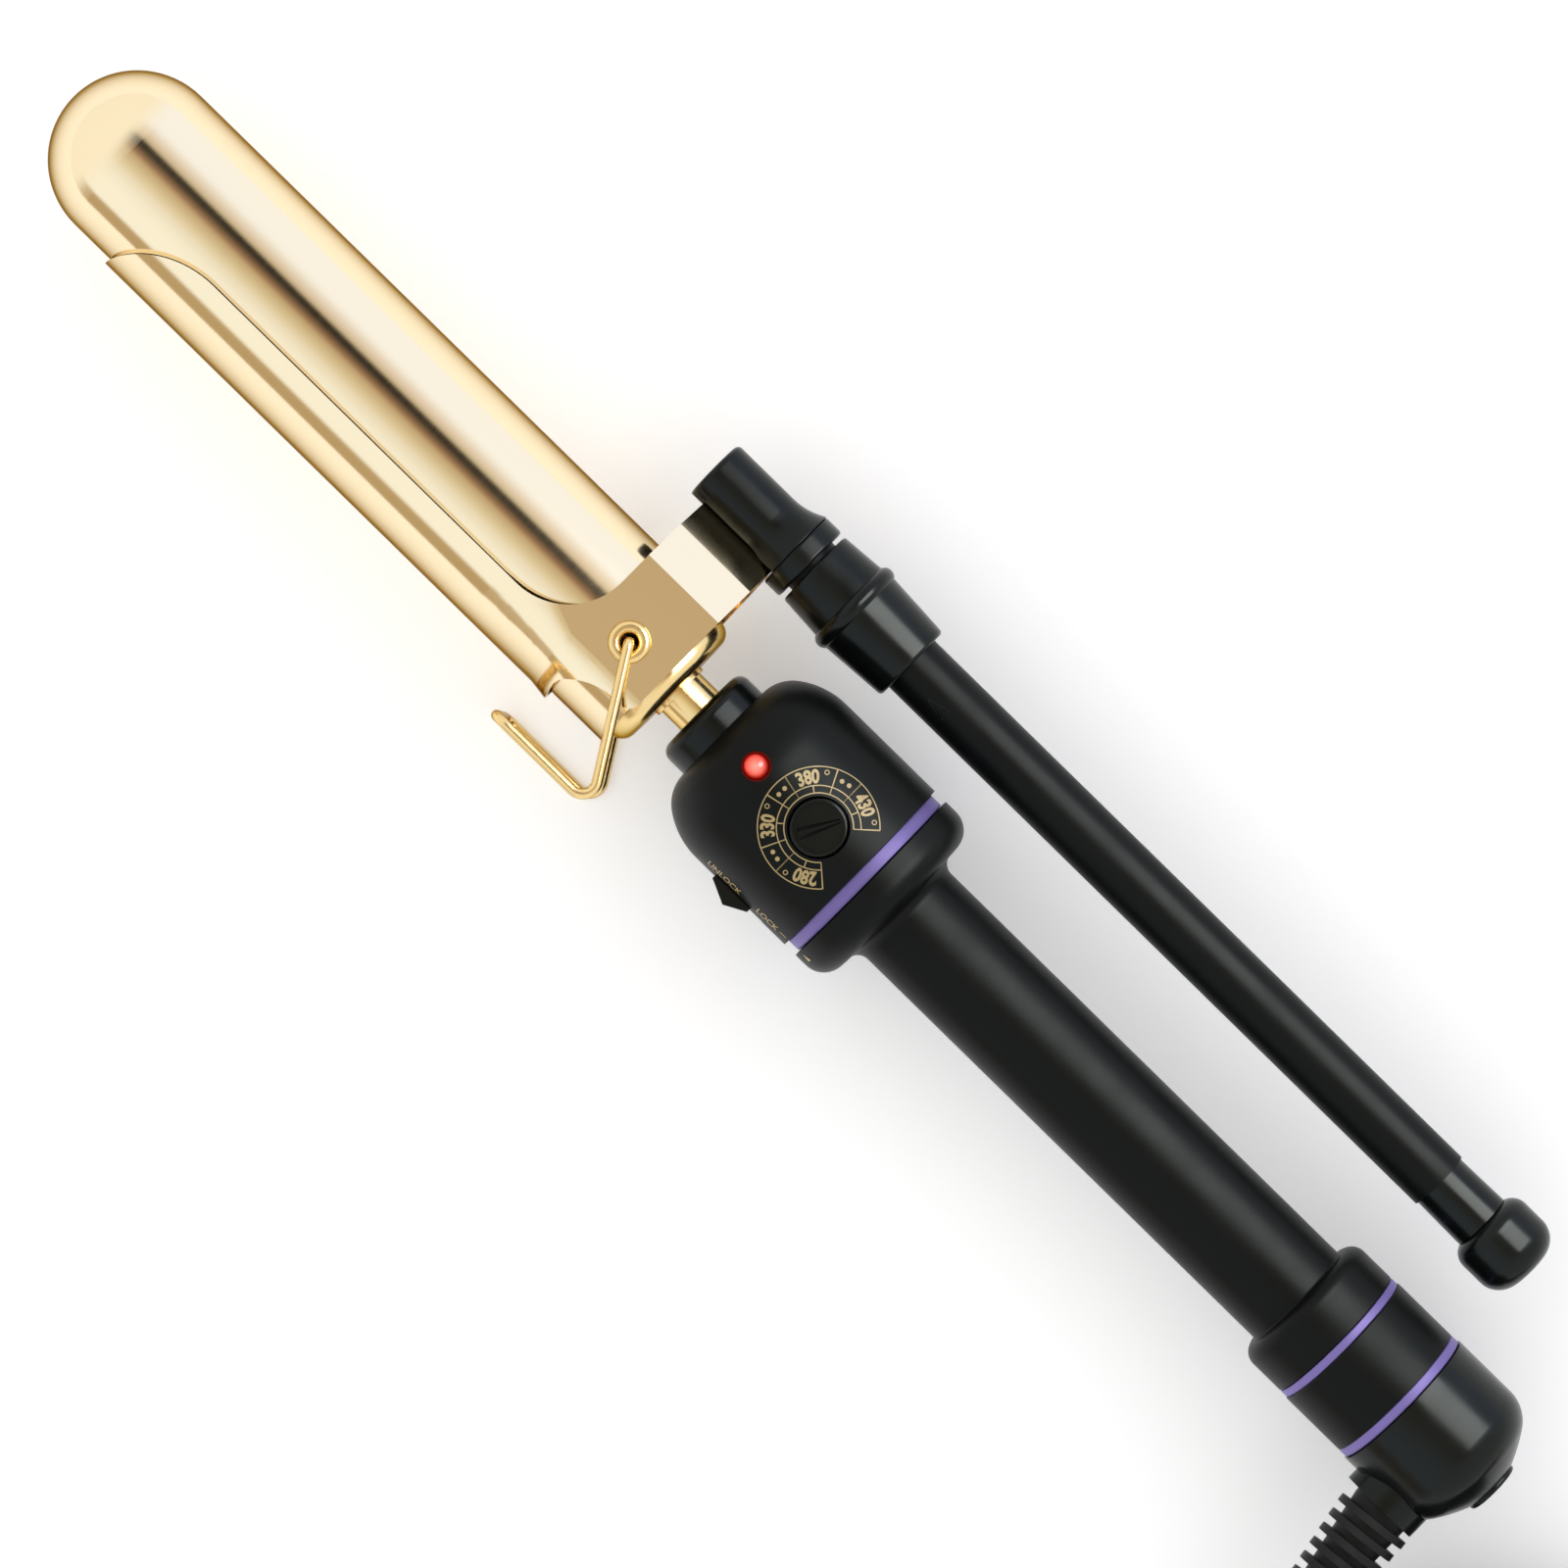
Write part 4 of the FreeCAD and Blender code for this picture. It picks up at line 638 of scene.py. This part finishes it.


# --- stage ------------------------------------------------------------------------------------

# The light round the iron's length, by angle from straight up, + towards the clamp side. These
# aren't the readings of a real studio: they were adjusted until the colours across the
# barrel came near those in the photograph, so the stage light is part of the likeness.
STUDIO_BANDS = [
    (-180, (0.90, 0.90, 0.90)),
    (-100, (1.04, 1.12, 1.30)),
    (-88, (1.04, 1.14, 1.42)),
    (-52, (1.02, 1.12, 1.40)),
    (-46, (0.98, 1.05, 1.28)),
    (-40, (0.87, 0.90, 1.02)),
    (-33, (0.80, 0.72, 0.72)),
    (-27, (0.62, 0.58, 0.50)),
    (-24, (0.30, 0.25, 0.18)),
    (-22, (0.02, 0.016, 0.014)),
    (-17, (0.02, 0.016, 0.014)),
    (-13, (0.11, 0.075, 0.05)),
    (-7, (0.32, 0.20, 0.13)),
    (-1, (0.58, 0.46, 0.32)),
    (7, (0.68, 0.62, 0.47)),
    (14, (0.80, 0.74, 0.62)),
    (21, (0.88, 0.88, 0.86)),
    (34, (0.98, 1.03, 1.10)),
    (50, (1.03, 1.10, 1.20)),
    (70, (1.03, 1.10, 1.20)),
    (75, (0.52, 0.40, 0.24)),
    (95, (0.50, 0.39, 0.24)),
    (115, (0.80, 0.78, 0.75)),
    (180, (0.90, 0.90, 0.90)),
]
END_LIGHT = (1.05, 1.05, 1.05)
END_FADE = (0.10, 0.55)
FLOOR_COLOR = (0.95, 0.95, 0.95)
# the floor gives some light of its own, to come near a white background
FLOOR_GLOW = 0.26
FLOOR_REACH = 3.0


def make_world():
    """A soft studio: long panels beside the iron and a dark gap over it."""
    world = bpy.data.worlds.new("studio")
    world.use_nodes = True
    nodes = world.node_tree.nodes
    links = world.node_tree.links
    place = nodes.new("ShaderNodeTexCoord")
    parts = nodes.new("ShaderNodeSeparateXYZ")
    angle = nodes.new("ShaderNodeMath")
    angle.operation = "ARCTAN2"
    share = nodes.new("ShaderNodeMapRange")
    share.inputs["From Min"].default_value = -math.pi
    share.inputs["From Max"].default_value = math.pi
    ramp = nodes.new("ShaderNodeValToRGB")
    ramp.color_ramp.interpolation = "LINEAR"
    stops = ramp.color_ramp.elements
    for degrees, color in STUDIO_BANDS:
        where = (degrees + 180) / 360
        if degrees == -180:
            stop = stops[0]
        elif degrees == 180:
            stop = stops[len(stops) - 1]
        else:
            stop = stops.new(where)
        stop.color = (*color, 1)
    background = nodes["Background"]
    background.inputs["Strength"].default_value = 1.0
    links.new(place.outputs["Generated"], parts.inputs[0])
    links.new(parts.outputs["Y"], angle.inputs[0])
    links.new(parts.outputs["Z"], angle.inputs[1])
    links.new(angle.outputs[0], share.inputs["Value"])
    links.new(share.outputs["Result"], ramp.inputs["Fac"])
    links.new(soften_ends(world, parts, ramp), background.inputs["Color"])
    bpy.context.scene.world = world


def soften_ends(world, parts, ramp):
    """The bands fade into an even light towards the two ends of the iron."""
    nodes = world.node_tree.nodes
    links = world.node_tree.links
    size = nodes.new("ShaderNodeMath")
    size.operation = "ABSOLUTE"
    fade = nodes.new("ShaderNodeMapRange")
    fade.interpolation_type = "SMOOTHSTEP"
    fade.inputs["From Min"].default_value = END_FADE[0]
    fade.inputs["From Max"].default_value = END_FADE[1]
    mix = nodes.new("ShaderNodeMix")
    mix.data_type = "RGBA"
    links.new(parts.outputs["X"], size.inputs[0])
    links.new(size.outputs[0], fade.inputs["Value"])
    links.new(fade.outputs["Result"], mix.inputs[0])
    links.new(ramp.outputs["Color"], mix.inputs[6])
    mix.inputs[7].default_value = (*END_LIGHT, 1)
    return mix.outputs[2]


# the soft box over the handle: its middle seen from the handle's axis, size and power
HANDLE_LIGHT_X = -0.11
HANDLE_LIGHT_ANGLE = math.radians(-37)
HANDLE_LIGHT_REACH = 0.45
HANDLE_LIGHT_SIZE = (0.26, 0.35)
HANDLE_LIGHT_COLOR = (1.0, 0.98, 0.98)
HANDLE_LIGHT_POWER = 2.7


def make_handle_light():
    """A soft box over the handle, seen only in gloss: no camera ray and no diffuse light."""
    data = bpy.data.lights.new("handle_light", "AREA")
    data.shape = "RECTANGLE"
    data.size, data.size_y = HANDLE_LIGHT_SIZE
    data.energy = HANDLE_LIGHT_POWER
    data.color = HANDLE_LIGHT_COLOR
    light = bpy.data.objects.new("handle_light", data)
    bpy.context.collection.objects.link(light)
    light.location = (HANDLE_LIGHT_X,
                      PIVOT.y + HANDLE_LIGHT_REACH * math.sin(HANDLE_LIGHT_ANGLE),
                      PIVOT.z + HANDLE_LIGHT_REACH * math.cos(HANDLE_LIGHT_ANGLE))
    light.rotation_euler = (-HANDLE_LIGHT_ANGLE, 0, 0)
    light.visible_camera = False
    light.visible_diffuse = False


def make_stage():
    floor_material = new_material("floor", FLOOR_COLOR, 0.9, Emission_Color=(1, 1, 1, 1),
                                  Emission_Strength=FLOOR_GLOW)
    mesh = bpy.data.meshes.new("floor")
    corners = [(-1, -1), (1, -1), (1, 1), (-1, 1)]
    mesh.from_pydata([(x * FLOOR_REACH, y * FLOOR_REACH, 0) for x, y in corners],
                     [], [(0, 1, 2, 3)])
    mesh.materials.append(floor_material)
    floor = bpy.data.objects.new("floor", mesh)
    bpy.context.collection.objects.link(floor)
    make_world()
    make_handle_light()
    bpy.context.scene.view_settings.view_transform = "Standard"


make_camera()
materials = make_materials()
make_cord(materials)
dress_cad_pieces(materials)
make_dial_print(materials)
make_lock_words(materials)
make_grip_mark(materials)
make_lever_mark(materials)
make_plug_grips(materials)
make_stage()
